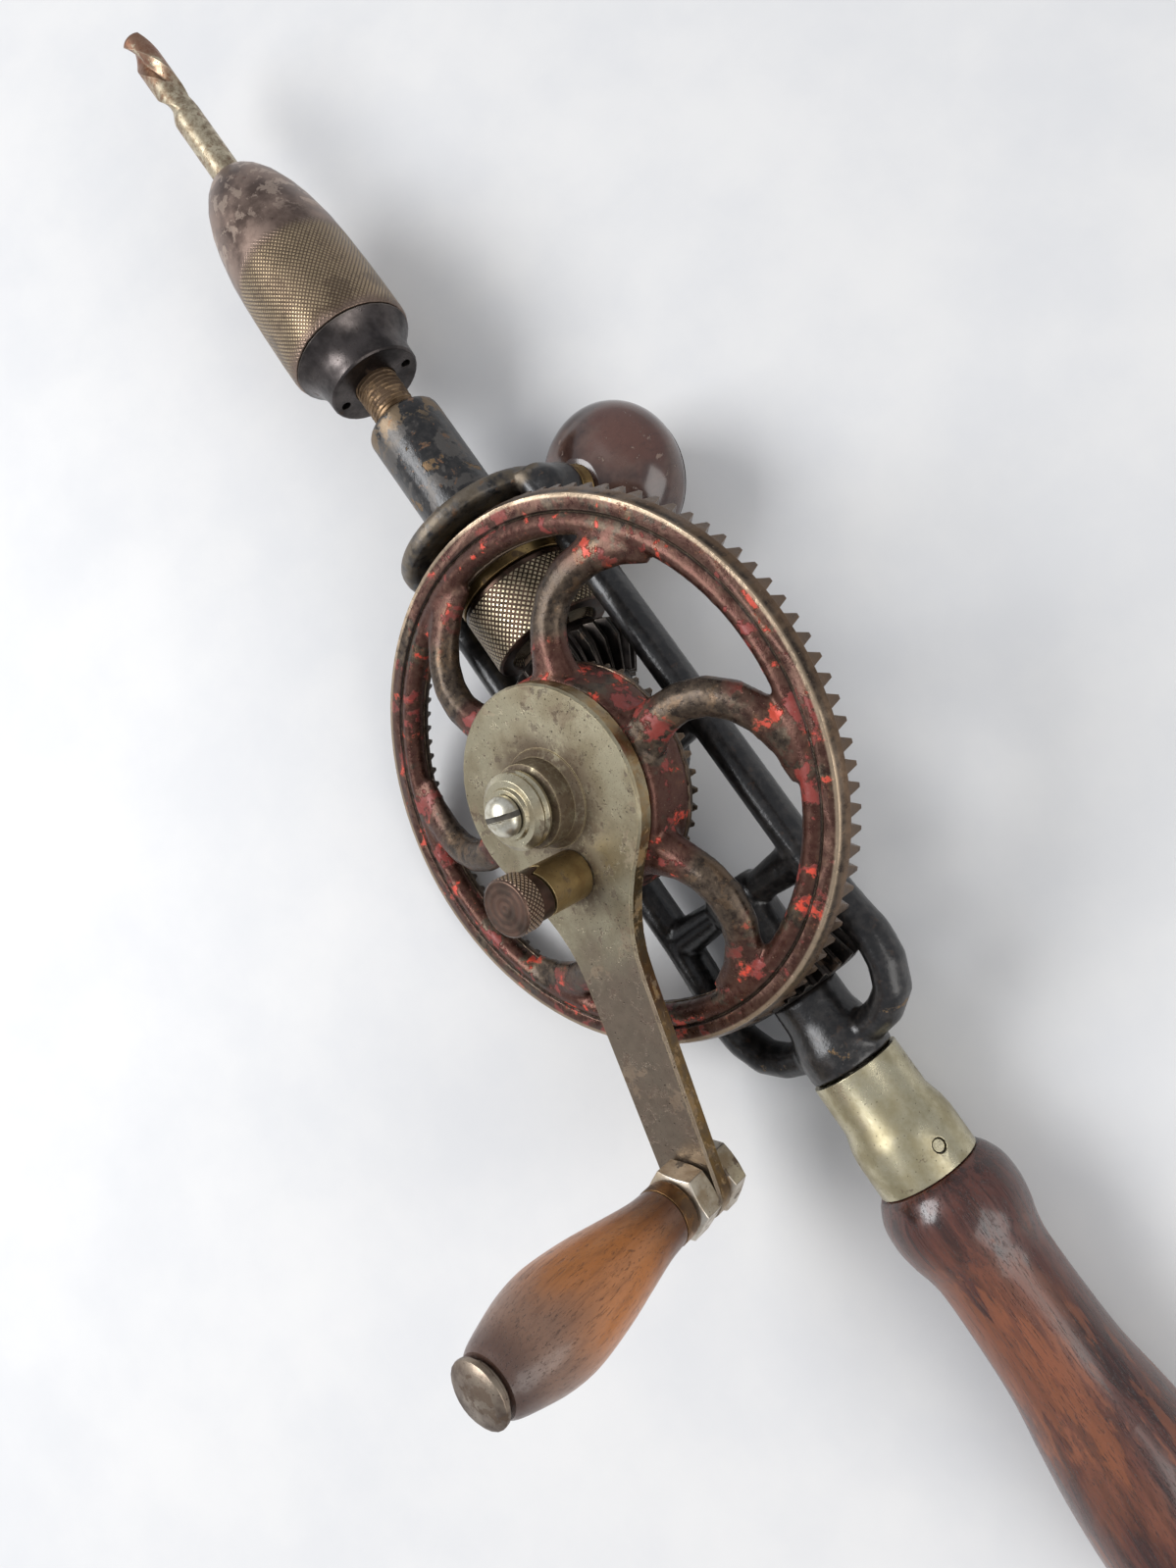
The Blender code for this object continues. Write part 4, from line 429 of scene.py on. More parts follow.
# Places on the crank, in millimetres: out along its arm, round the boss and the
# selector's housing, and along the axle
PLATING_ENDS = (24.0, 44.0)
SELECTOR_OUT = 16.3
BOSS_GRIME = (10.0, 17.5)
HOUSING_GRIME = (5.5, 11.5)
CRANK_SIDE = (31.4, 31.0)


def crank_finish():
    """Nickel on steel: grey and speckled on the disc, worn through along the arm."""
    f = Finish("worn_nickel_crank", CRANK)
    x, y, z = f.parts(f.at)
    cloud = f.noise(f.at, 0.13, 5.0, 0.6)
    colour = f.mix(f.span(cloud, 0.35, 0.65), shade(168, 159, 134), shade(130, 120, 98))
    along = f.add(x, f.times(f.less(f.noise(f.at, 0.09, 4.0), 0.5), 24.0))
    gone = f.span(along, *PLATING_ENDS)
    steel = f.mix(f.noise(f.at, 0.35, 5.0), shade(88, 74, 66), shade(134, 118, 104))
    colour = f.mix(f.times(gone, 0.80), colour, steel)
    stain = f.patches(7.0, 0.36)
    colour = f.mix(f.times(stain, 0.5), colour, shade(98, 78, 54))
    radius = f.from_axis(x, y)
    beyond = f.less(x, SELECTOR_OUT)
    fixing = f.from_axis(beyond, y)
    round_boss = f.span(radius, *BOSS_GRIME, 1.0, 0.0)
    round_housing = f.span(fixing, *HOUSING_GRIME, 1.0, 0.0)
    ragged = f.span(f.noise(f.at, 0.45, 5.0, 0.7), 0.28, 0.50)
    grime = f.times(f.most(round_boss, round_housing), ragged)
    colour = f.mix(f.times(grime, 0.85), colour, shade(72, 54, 34))
    specks = f.most(f.spots(f.at, 0.55, 0.13), f.spots(f.at, 1.3, 0.16), f.spots(f.at, 3.0, 0.18))
    colour = f.mix(f.times(specks, 0.85), colour, shade(50, 38, 28))
    fleck = f.patches(2.4, 0.35)
    colour = f.mix(f.times(fleck, 0.6), colour, shade(70, 52, 36))
    side = f.span(z, *CRANK_SIDE)
    side = f.times(side, f.span(f.noise(f.at, 0.4, 4.0), 0.36, 0.6, 0.25, 0.9))
    colour = f.mix(side, colour, shade(150, 122, 82))
    rub = f.times(f.edges(0.5), 0.55)
    colour = f.mix(rub, colour, shade(206, 188, 146))
    rough = f.add(f.span(cloud, 0.3, 0.7, 0.28, 0.42), f.times(f.most(stain, grime), 0.2))
    lines = f.noise(f.stretched(f.at, 0.25, 3.0, 1.0), 1.6, 4.0, 0.7)
    height = f.less(f.times(lines, 0.3), f.most(specks, f.times(fleck, 0.5)))
    metal = f.span(f.most(stain, grime, fleck), 0.0, 1.0, 0.95, 0.35)
    return f.done(colour, rough, metal, f.bump(height, 0.07))


# Places along the spindle, in millimetres from the axle
TAIL_FROM = (-66.0, -72.0)
NECK_FROM = (58.0, 64.0)
FLANGE = (61.0, 68.5)
NECK_TOP = (93.0, 101.0)
CHUCK_KNURL = (122.8, 148.5)
CHUCK_NOSE = (150.0, 158.0)
SLEEVE_KNURL = (34.3, 47.3)
BIT_RUST = (206.0, 224.0)
HANDLE_RUBBED = (-200.0, -116.0)
WOOD_TOP = -104.5  # above it the handle is inside its ferrule


def japan_finish():
    """Black stoving enamel on the casting, worn to tan iron on the neck, flange and edges."""
    f = Finish("black_japan", SPINDLE)
    _, _, z = f.parts(f.at)
    casting = f.noise(f.at, 0.55, 5.0, 0.6)
    colour = f.mix(f.span(casting, 0.4, 0.7), BLACK, shade(44, 41, 39))
    neck = f.span(z, *NECK_FROM)
    tail = f.span(z, *TAIL_FROM)
    amount = f.add(0.16, f.times(f.most(neck, tail), 0.16))
    grey = f.times(f.patches(8.0, 0.48), neck)
    colour = f.mix(f.times(grey, 0.75), colour, shade(92, 88, 84))
    worn = f.patches(6.0, amount)
    colour = f.mix(f.times(worn, 0.88), colour, shade(124, 101, 74))
    top = f.times(f.within(z, *NECK_TOP, 3.0), f.patches(5.0, 0.46))
    colour = f.mix(f.times(top, 0.8), colour, shade(126, 108, 86))
    flange = f.span(f.noise(f.at, 0.25, 5.0, 0.6), 0.36, 0.6)
    flange = f.times(f.within(z, *FLANGE, 1.0), flange)
    colour = f.mix(f.times(flange, 0.7), colour, shade(116, 104, 88))
    rust = f.times(f.patches(2.4, 0.30), f.add(f.times(neck, 0.8), 0.15))
    colour = f.mix(f.times(rust, 0.6), colour, shade(122, 88, 60))
    rub = f.times(f.edges(0.8), f.span(f.noise(f.at, 0.35), 0.38, 0.62))
    colour = f.mix(f.times(rub, 0.7), colour, shade(132, 112, 88))
    bare = f.most(worn, rub, f.times(grey, 0.7), top, flange)
    rough = f.span(bare, 0.0, 1.0, 0.28, 0.46)
    height = f.less(casting, f.times(worn, 0.6))
    return f.done(colour, rough, f.times(bare, 0.7), f.bump(height, 0.14))


def chuck_finish():
    """Brown patina, tan where it is knurled, and mottled purple-brown on the nose."""
    f = Finish("knurled_chuck", SPINDLE)
    _, _, z = f.parts(f.at)
    cloud = f.noise(f.at, 0.13, 6.0, 0.62)
    colour = f.mix(f.span(cloud, 0.34, 0.66), shade(92, 76, 68), shade(142, 122, 110))
    edge = f.add(z, f.times(f.less(f.noise(f.at, 0.25, 4.0), 0.5), 3.0))
    knurled = f.within(edge, *CHUCK_KNURL, 2.4)
    height = f.times(f.knurl(86.0, 1.25), knurled)
    tan = f.mix(height, shade(92, 76, 60), shade(174, 154, 123))
    colour = f.mix(f.times(knurled, 0.88), colour, tan)
    dull = f.times(knurled, f.patches(9.0, 0.42))
    colour = f.mix(f.times(dull, 0.45), colour, shade(84, 68, 56))
    nose = f.span(z, *CHUCK_NOSE)
    pale = f.times(f.patches(4.0, 0.44), nose)
    colour = f.mix(f.times(pale, 0.7), colour, shade(178, 158, 142))
    red = f.times(f.patches(6.0, 0.28), nose)
    colour = f.mix(f.times(red, 0.4), colour, shade(92, 52, 42))
    specks = f.most(f.spots(f.at, 0.6, 0.1), f.spots(f.at, 1.6, 0.13))
    colour = f.mix(f.times(specks, 0.7), colour, shade(44, 30, 26))
    rough = f.span(cloud, 0.3, 0.7, 0.28, 0.44)
    return f.done(colour, rough, 0.85, f.bump(f.add(height, f.times(cloud, 0.1)), 0.20))


SELECTOR_KNURL = (47.7, 51.7)  # mm along the axle


def knurled_sleeve(name, axes, around, pitch, low, high, dark, light):
    """Knurled steel between low and high along the axis, smooth and ringed beyond."""
    f = Finish(name, axes)
    x, y, z = f.parts(f.at)
    cloud = f.noise(f.at, 0.3, 5.0, 0.6)
    radius = f.from_axis(x, y)
    knurled = f.within(z, low, high, 0.15)
    height = f.times(f.knurl(around, pitch), knurled)
    colour = f.mix(f.span(cloud, 0.35, 0.65), dark, IRON)
    colour = f.mix(f.times(knurled, height), colour, light)
    rub = f.edges(0.4)
    colour = f.mix(f.times(rub, 0.6), colour, light)
    rings = f.math("PINGPONG", radius, 0.8)
    face = f.times(f.span(z, high, high + 0.3), rings, 0.4)
    colour = f.mix(f.times(face, 0.18), colour, light)
    rough = f.span(cloud, 0.3, 0.7, 0.30, 0.46)
    return f.done(colour, rough, 0.9, f.bump(f.add(height, face), 0.28))


def wood_finish(name, axes, dark, middle, worn, wear_amount, worn_low, worn_high):
    """Turned wood in old varnish: dark streaks along Z, and bare streaks where hands rub."""
    f = Finish(name, axes)
    _, _, z = f.parts(f.at)
    long_way = f.stretched(f.at, 1.0, 1.0, 0.06)
    streaks = f.noise(long_way, 0.5, 6.0, 0.66, 0.5)
    colour = f.mix(f.span(streaks, 0.34, 0.66), dark, middle)
    rubbed = f.within(z, worn_low, worn_high, 9.0)
    wear = f.times(f.patches(7.0, wear_amount, f.stretched(f.at, 1.0, 1.0, 0.16)), rubbed)
    soft = f.noise(f.stretched(f.at, 1.0, 1.0, 0.25), 0.10, 5.0, 0.65)
    soft = f.times(f.span(soft, 0.46, 0.64), rubbed)
    colour = f.mix(f.times(soft, 0.30), colour, worn)
    colour = f.mix(f.times(wear, 0.42), colour, worn)
    pores = f.noise(f.stretched(f.at, 1.0, 1.0, 0.05), 3.4, 3.0, 0.75)
    lines = f.span(pores, 0.56, 0.66)
    colour = f.mix(f.times(lines, 0.6), colour, shade(30, 18, 14))
    scars = f.patches(2.0, 0.20, f.stretched(f.at, 1.0, 1.0, 0.6))
    colour = f.mix(f.times(scars, 0.6), colour, shade(36, 24, 20))
    rough = f.add(f.span(streaks, 0.3, 0.7, 0.20, 0.34), f.times(f.most(wear, soft), 0.12))
    height = f.less(f.times(streaks, 0.25), f.most(f.times(lines, 0.6), scars))
    return f.done(colour, rough, 0.0, f.bump(height, 0.10), coat=0.35)


# Places along the crank's grip, in millimetres
GRIP_BY_NUT = (43.0, 60.0)
GRIP_BEYOND = (70.0, 84.0)
GRIP_END = (84.0, 91.0)


def grip_finish():
    """The crank's grip: brown by the nut, rubbed orange round the middle, grey-brown beyond."""
    f = Finish("orange_varnish", GRIP)
    _, _, z = f.parts(f.at)
    waver = f.times(f.less(f.noise(f.stretched(f.at, 1.0, 1.0, 0.4), 0.12, 5.0, 0.6), 0.5), 12.0)
    along = f.add(z, waver)
    colour = f.mix(f.span(along, *GRIP_BY_NUT), shade(92, 60, 40), shade(176, 113, 64))
    colour = f.mix(f.span(along, *GRIP_BEYOND), colour, shade(122, 92, 74))
    colour = f.mix(f.span(z, *GRIP_END), colour, shade(84, 62, 52))
    long_way = f.stretched(f.at, 1.0, 1.0, 0.07)
    streaks = f.noise(long_way, 0.9, 6.0, 0.68)
    colour = f.mix(f.span(streaks, 0.46, 0.72, 0.0, 0.40), colour, shade(70, 40, 26))
    pores = f.noise(f.stretched(f.at, 1.0, 1.0, 0.06), 3.6, 3.0, 0.75)
    lines = f.span(pores, 0.57, 0.67)
    colour = f.mix(f.times(lines, 0.5), colour, shade(44, 26, 18))
    scars = f.patches(1.8, 0.20, f.stretched(f.at, 1.0, 1.0, 0.5))
    colour = f.mix(f.times(scars, 0.5), colour, shade(50, 34, 26))
    rough = f.span(streaks, 0.3, 0.7, 0.30, 0.44)
    height = f.less(f.times(streaks, 0.3), f.most(f.times(lines, 0.6), scars))
    return f.done(colour, rough, 0.0, f.bump(height, 0.10), coat=0.2)


def knob_finish():
    """Dark glossy lacquer with bare chips and a few dull scratches."""
    f = Finish("plum_lacquer", KNOB)
    cloud = f.noise(f.at, 0.08, 5.0, 0.6)
    colour = f.mix(f.span(cloud, 0.34, 0.66), shade(44, 29, 25), shade(86, 64, 55))
    brown = f.times(f.span(f.noise(f.at, 0.05, 4.0, 0.6), 0.46, 0.62), 0.6)
    colour = f.mix(brown, colour, shade(76, 40, 30))
    grain = f.noise(f.stretched(f.at, 1.0, 1.0, 0.12), 0.9, 5.0, 0.7)
    colour = f.mix(f.span(grain, 0.5, 0.7, 0.0, 0.45), colour, shade(56, 34, 28))
    scars = f.patches(2.6, 0.26)
    colour = f.mix(f.times(scars, 0.6), colour, shade(134, 112, 98))
    chip = f.patches(5.0, 0.13)
    colour = f.mix(chip, colour, shade(206, 196, 168))
    rough = f.add(f.span(cloud, 0.3, 0.7, 0.17, 0.28), f.times(f.most(scars, chip), 0.3))
    return f.done(colour, rough, 0.0, f.bump(f.less(0.0, f.most(scars, chip)), 0.10), coat=0.4)


def bit_finish():
    """Old bright steel: creamy and pitted on the shank, rusty towards the tip."""
    f = Finish("pitted_bit", SPINDLE)
    _, _, z = f.parts(f.at)
    cloud = f.noise(f.at, 0.5, 6.0, 0.7)
    colour = f.mix(f.span(cloud, 0.35, 0.65), shade(196, 184, 158), shade(134, 118, 96))
    rust = f.patches(3.4, 0.38)
    colour = f.mix(f.times(rust, 0.65), colour, shade(118, 86, 62))
    tip = f.times(f.span(z, *BIT_RUST), f.patches(4.0, 0.66))
    colour = f.mix(f.times(tip, 0.75), colour, shade(126, 78, 58))
    pits = f.most(f.spots(f.at, 1.3, 0.16), f.spots(f.at, 0.6, 0.12))
    colour = f.mix(f.times(pits, 0.8), colour, shade(58, 42, 30))
    rub = f.edges(0.4)
    colour = f.mix(f.times(rub, 0.5), colour, shade(214, 204, 180))
    rough = f.span(cloud, 0.3, 0.7, 0.32, 0.50)
    return f.done(colour, rough, 0.85, f.bump(f.less(f.times(cloud, 0.4), pits), 0.12))


SLOT_TURN = 69.0  # degrees, of the axle screw's slot


def screw_finish():
    """The bright dome on the axle, with painted shade in its slot."""
    f = Finish("slotted_dome", DRILL)
    x, y, _ = f.parts(f.at)
    cloud = f.noise(f.at, 0.5, 4.0, 0.6)
    colour = f.mix(f.span(cloud, 0.35, 0.65), shade(212, 208, 192), shade(164, 156, 136))
    stain = f.patches(3.0, 0.26)
    colour = f.mix(f.times(stain, 0.6), colour, STAIN)
    # Painted shade: the slot darkened to near black, and made rougher and less metallic
    angle = radians(SLOT_TURN)
    across = f.math("ABSOLUTE", f.less(f.times(y, cos(angle)), f.times(x, sin(angle))))
    slot = f.span(across, 0.50, 0.66, 1.0, 0.0)
    colour = f.mix(f.times(slot, 0.9), colour, shade(34, 26, 20))
    rough = f.add(f.span(cloud, 0.3, 0.7, 0.30, 0.42), f.times(slot, 0.3))
    return f.done(colour, rough, f.less(0.95, f.times(slot, 0.6)), f.bump(f.less(0.0, stain), 0.04))


# The plainer metals: their frame, bright and dull colours, how stained and how rough they
# are, and the colour of their rubbed edges where it isn't the bright one
METALS = {
    "nickel": (DRILL, (190, 182, 156), (140, 130, 108), 0.32, 0.28, (212, 200, 166)),
    "ferrule": (SPINDLE, (192, 184, 156), (158, 148, 118), 0.30, 0.28, None),
    "hexagon": (GRIP, (206, 198, 184), (158, 140, 116), 0.36, 0.34, None),
    "collar": (GRIP, (140, 106, 70), (88, 60, 40), 0.45, 0.40, None),
    "housing": (SELECTOR, (180, 157, 112), (132, 107, 70), 0.36, 0.36, (206, 188, 142)),
    "brass": (SPINDLE, (160, 134, 88), (112, 90, 58), 0.36, 0.34, None),
    "steel": (SPINDLE, (196, 190, 174), (120, 108, 92), 0.40, 0.32, None),
    "thread": (SPINDLE, (140, 116, 90), (84, 66, 48), 0.42, 0.44, (172, 150, 118)),
    "rear": (SPINDLE, (84, 78, 76), (52, 48, 47), 0.26, 0.30, (132, 124, 114)),
    "teeth": (SPINDLE, (66, 60, 56), (30, 28, 27), 0.36, 0.34, (140, 130, 114)),
    "button": (GRIP, (150, 136, 120), (98, 84, 74), 0.42, 0.36, (186, 172, 150)),
}


def make_finishes():
    """Every material, under the name that the table of pieces uses."""
    made = {
        "wheel": wheel_finish(),
        "crank": crank_finish(),
        "japan": japan_finish(),
        "chuck": chuck_finish(),
        "knob": knob_finish(),
        "bit": bit_finish(),
        "grip": grip_finish(),
        "screw": screw_finish(),
        "handle": wood_finish(
            "red_brown_varnish", SPINDLE, shade(42, 22, 18), shade(84, 44, 33), shade(140, 80, 46),
            0.40, *HANDLE_RUBBED,
        ),
        "sleeve": knurled_sleeve(
            "knurled_sleeve", SPINDLE, 62.0, 1.45, *SLEEVE_KNURL,
            shade(58, 47, 38), shade(196, 180, 150),
        ),
        "selector": knurled_sleeve(
            "knurled_selector", SELECTOR, 34.0, 1.1, *SELECTOR_KNURL,
            shade(76, 62, 54), shade(172, 150, 128),
        ),
    }
    for name, (axes, bright, dull, stain, rough, edge) in METALS.items():
        edge = edge and shade(*edge)
        metal = aged_metal("aged_" + name, axes, shade(*bright), shade(*dull), stain, rough, edge)
        made[name] = metal
    return made


# Pieces
def smooth(obj, angle=38):
    obj.data.shade_smooth()
    obj.data.set_sharp_from_angle(angle=radians(angle))
    return obj


def rounded(obj, width, segments=2):
    """Breaks the sharp edges of a piece by width, in millimetres."""
    bevel = obj.modifiers.new("broken edges", "BEVEL")
    bevel.width = width * MM
    bevel.segments = segments
    bevel.limit_method = "ANGLE"
    bevel.angle_limit = radians(38)
    bevel.harden_normals = True
    return obj


def new_object(name, mesh):
    obj = bpy.data.objects.new(name, mesh)
    bpy.context.scene.collection.objects.link(obj)
    return obj


def welded_copy(node, flatten=True):
    """A new object with a CAD node's mesh, its corners joined."""
    mesh = frame["nodes"][node].data.copy()
    mesh.materials.clear()
    if "custom_normal" in mesh.attributes:
        mesh.attributes.remove(mesh.attributes["custom_normal"])
    work = bmesh.new()
    work.from_mesh(mesh)
    bmesh.ops.remove_doubles(work, verts=work.verts, dist=0.002 * MM)
    if flatten:
        bmesh.ops.dissolve_limit(work, angle_limit=radians(0.6), verts=work.verts, edges=work.edges)
    work.to_mesh(mesh)
    work.free()
    return new_object("fine_" + node, mesh)


def stand_for(obj, node, finish):
    obj.data.materials.clear()
    obj.data.materials.append(FINISHES[finish])
    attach(obj, BODY_OF[node])
    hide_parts(node)
    return obj


def fine_copy(node, finish, edge=0.15):
    """A smooth copy of a CAD node with broken edges, standing for it."""
    obj = smooth(welded_copy(node))
    if edge:
        rounded(obj, edge)
    return stand_for(obj, node, finish)


def baked(obj):
    """Puts the mesh that an object's modifiers make in place of its own."""
    graph = bpy.context.evaluated_depsgraph_get()
    mesh = bpy.data.meshes.new_from_object(obj.evaluated_get(graph), depsgraph=graph)
    obj.modifiers.clear()
    obj.data = mesh
    return obj


def turned_mesh(name, axes, profile, sides=96, closed=False):
    """A shape turned about an axis from (radius, height) points in millimetres."""
    work = bmesh.new()
    rings = []
    for radius, height in profile:
        ring = []
        for step in range(sides if radius > 0.001 else 1):
            angle = 2 * pi * step / sides
            place = Vector((radius * cos(angle), radius * sin(angle), height)) * MM
            ring.append(work.verts.new(axes @ place))
        rings.append(ring)
    pairs = list(zip(rings, rings[1:]))
    if closed:
        pairs.append((rings[-1], rings[0]))
    for low, high in pairs:
        for step in range(max(len(low), len(high))):
            after = step + 1
            corners = [low[step % len(low)], low[after % len(low)]]
            corners += [high[after % len(high)], high[step % len(high)]]
            corners = list(dict.fromkeys(corners))
            if len(corners) > 2:
                work.faces.new(corners)
    bmesh.ops.recalc_face_normals(work, faces=work.faces)
    mesh = bpy.data.meshes.new(name)
    work.to_mesh(mesh)
    work.free()
    return new_object(name, mesh)


def points_of(node, axes):
    """A CAD node's corners in millimetres in a part's frame."""
    back = axes.inverted()
    return [(back @ vertex.co) / MM for vertex in frame["nodes"][node].data.vertices]


# The holes through the wooden pieces, as radii in millimetres
HANDLE_BORE = 4.3
GRIP_BORE = 3.3
KNOB_BORE = 2.8
ROUNDER_BY = 0.17  # mm that round wood would pass the flats of the CAD's rings


def outline_of(node, axes, bore, high=1000.0):
    """(radius, height) of a round CAD node's outside, ring by ring. bore is its hole's radius."""
    rings = {}
    for point in points_of(node, axes):
        height = round(point.z, 1)
        radius = hypot(point.x, point.y)
        if height <= high and radius > 0.5 and abs(radius - bore) > 0.05:
            rings[height] = max(rings.get(height, 0.0), radius)
    return [(radius, height) for height, radius in sorted(rings.items())]


def eased(points, steps=6):
    """A smooth line through the points of a profile."""
    made = []
    places = [Vector(point) for point in points]
    places = [2 * places[0] - places[1], *places, 2 * places[-1] - places[-2]]
    for before, first, last, after in zip(places, places[1:], places[2:], places[3:]):
        for step in range(steps):
            t = step / steps
            made.append((
                first * 2 + (last - before) * t
                + (before * 2 - first * 5 + last * 4 - after) * t ** 2
                + (first * 3 - before - last * 3 + after) * t ** 3
            ) / 2)
    made.append(places[-2])
    return [(max(point.x, 0.0), point.y) for point in made]


def turned_wood(node, axes, finish, bore, high=1000.0):
    """The wood's outside as one smooth turned shape, closed at both ends."""
    rings = outline_of(node, axes, bore, high)
    foot, top = rings[0][1], rings[-1][1]
    line = []
    for radius, height in eased(rings):
        line.append((max(radius - ROUNDER_BY, 0.0), min(max(height, foot), top)))
    ends = [(0.0, line[0][1]), *line, (0.0, line[-1][1])]
    return stand_for(smooth(turned_mesh("fine_" + node, axes, ends, 96), 50), node, finish)


CAST_GRAIN = 0.55  # mm between the corners of a cast skin
CAST_PASSES = 14  # times that its fillets are smoothed


def cast_skin(obj):
    """Melts an object's corners together, as on a casting."""
    skin = obj.modifiers.new("cast skin", "REMESH")
    skin.mode = "VOXEL"
    skin.voxel_size = CAST_GRAIN * MM
    fillets = obj.modifiers.new("fillets", "SMOOTH")
    fillets.factor = 0.5
    fillets.iterations = CAST_PASSES
    return baked(obj)


def divide(obj, cutter, operation):
    boolean = obj.modifiers.new("divide", "BOOLEAN")
    boolean.operation = operation
    boolean.solver = "EXACT"
    boolean.object = cutter
    return baked(obj)


# Where the wheel's teeth leave its casting: (radius, height) in millimetres
OUTER_TEETH_IN = (49.6, 17.0)
OUTER_TEETH_LIP = (55.4, 17.7)
OUTER_TEETH_CLEAR = (75.0, 40.0)
INNER_TEETH = (25.9, 17.1)
ZONE_GAP = 0.25  # mm that the casting starts inside the teeth's zones


def toothed_zones(shift):
    """Two rings of space that hold the wheel's outer and inner teeth. shift moves their edges."""
    inside, low = OUTER_TEETH_IN
    lip, high = OUTER_TEETH_LIP
    outside, above = OUTER_TEETH_CLEAR
    outer = turned_mesh("outer_zone", DRILL, [
        (inside, 0.0), (outside, 0.0), (outside, above), (lip + shift, above),
        (lip + shift, high - shift), (inside, low - shift),
    ], 180, True)
    radius, top = INNER_TEETH
    inner = turned_mesh("inner_zone", DRILL, [
        (0.0, 0.0), (radius, 0.0), (radius, top - shift), (0.0, top - shift),
    ], 120)
    return outer, inner


def make_wheel():
    """The wheel: crisp teeth, and a rim, spokes and hub with the fillets of a casting."""
    casting = welded_copy("gear_wheel")
    for zone in toothed_zones(ZONE_GAP):
        divide(casting, zone, "DIFFERENCE")
        bpy.data.objects.remove(zone)
    cast_skin(casting)
    work = bmesh.new()
    work.from_mesh(casting.data)
    for zone in toothed_zones(0.0):
        teeth = welded_copy("gear_wheel")
        divide(teeth, zone, "INTERSECT")
        rounded(smooth(teeth, 30), 0.12)
        baked(teeth)
        work.from_mesh(teeth.data)
        bpy.data.objects.remove(zone)
        bpy.data.objects.remove(teeth)
    work.to_mesh(casting.data)
    work.free()
    return stand_for(smooth(casting, 40), "gear_wheel", "wheel")


def make_casting():
    """The frame with cast fillets."""
    return stand_for(smooth(cast_skin(welded_copy("frame")), 50), "frame", "japan")


def make_thread():
    """The screw thread that shows between the frame's neck and the chuck."""
    low = max(point.z for point in points_of("frame", SPINDLE)) + 0.3
    high = min(point.z for point in points_of("chuck_body", SPINDLE)) + 1.0
    pitch, crest, root, sides, rows = 1.15, 5.45, 4.75, 60, 90
    work = bmesh.new()
    rings = []
    for row in range(rows + 1):
        height = low + (high - low) * row / rows
        ring = []
        for side in range(sides):
            angle = 2 * pi * side / sides
            turn = (height / pitch - side / sides) % 1.0
            radius = root + (crest - root) * (1 - abs(2 * turn - 1)) ** 0.8
            ring.append(work.verts.new(
                SPINDLE @ (Vector((radius * cos(angle), radius * sin(angle), height)) * MM)
            ))
        rings.append(ring)
    for below, above in zip(rings, rings[1:]):
        for side in range(sides):
            after = (side + 1) % sides
            work.faces.new((below[side], below[after], above[after], above[side]))
    work.faces.new(rings[0])
    work.faces.new(rings[-1])
    bmesh.ops.recalc_face_normals(work, faces=work.faces)
    mesh = bpy.data.meshes.new("screw_thread")
    work.to_mesh(mesh)
    work.free()
    obj = smooth(new_object("screw_thread", mesh), 60)
    obj.data.materials.append(FINISHES["thread"])
    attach(obj, BODY_OF["spindle"])


# The twist bit, in millimetres, and its tip and flutes as shares of its radius
BIT_RADIUS = 3.8
BIT_FLUTED = 30.0
BIT_RUN_OUT = 7.0
BIT_PITCH = 40.0
BIT_POINT = 2.85
BIT_TIP = 0.16
BIT_HOLLOW = 0.62


def make_bit():
    """The twist bit: a plain shank, and two flutes that wind up to the point."""
    heights = [point.z for point in points_of("drill_bit", SPINDLE)]
    low, high = min(heights), max(heights)
    start = high - BIT_FLUTED
    sides, rows = 72, 150
    work = bmesh.new()
    rings = []
    for row in range(rows + 1):
        height = low + (high - low) * row / rows
        fluted = min(1.0, max(0.0, (height - start) / BIT_RUN_OUT))
        twist = 2 * pi * max(0.0, height - start) / BIT_PITCH
        size = BIT_TIP + (1 - BIT_TIP) * min(1.0, (high - height) / BIT_POINT)
        ring = []
        for side in range(sides):
            angle = 2 * pi * side / sides
            hollow = max(0.0, cos(2 * angle)) ** 0.8
            radius = BIT_RADIUS * size * (1 - BIT_HOLLOW * fluted * hollow) * MM
            ring.append(work.verts.new(SPINDLE @ Vector((
                radius * cos(angle - twist), radius * sin(angle - twist), height * MM,
            ))))
        rings.append(ring)
    for below, above in zip(rings, rings[1:]):
        for side in range(sides):
            after = (side + 1) % sides
            work.faces.new((below[side], below[after], above[after], above[side]))
    work.faces.new(rings[0])
    work.faces.new(rings[-1])
    bmesh.ops.recalc_face_normals(work, faces=work.faces)
    mesh = bpy.data.meshes.new("fine_drill_bit")
    work.to_mesh(mesh)
    work.free()
    return stand_for(smooth(new_object("fine_drill_bit", mesh), 50), "drill_bit", "bit")


# The axle screw's head, in millimetres
SCREW_SHANK = 2.6
SCREW_HEAD = 4.2
SCREW_EDGE = 0.6
SLOT_SIZE = Vector((14.0, 1.3, 3.0)) * MM


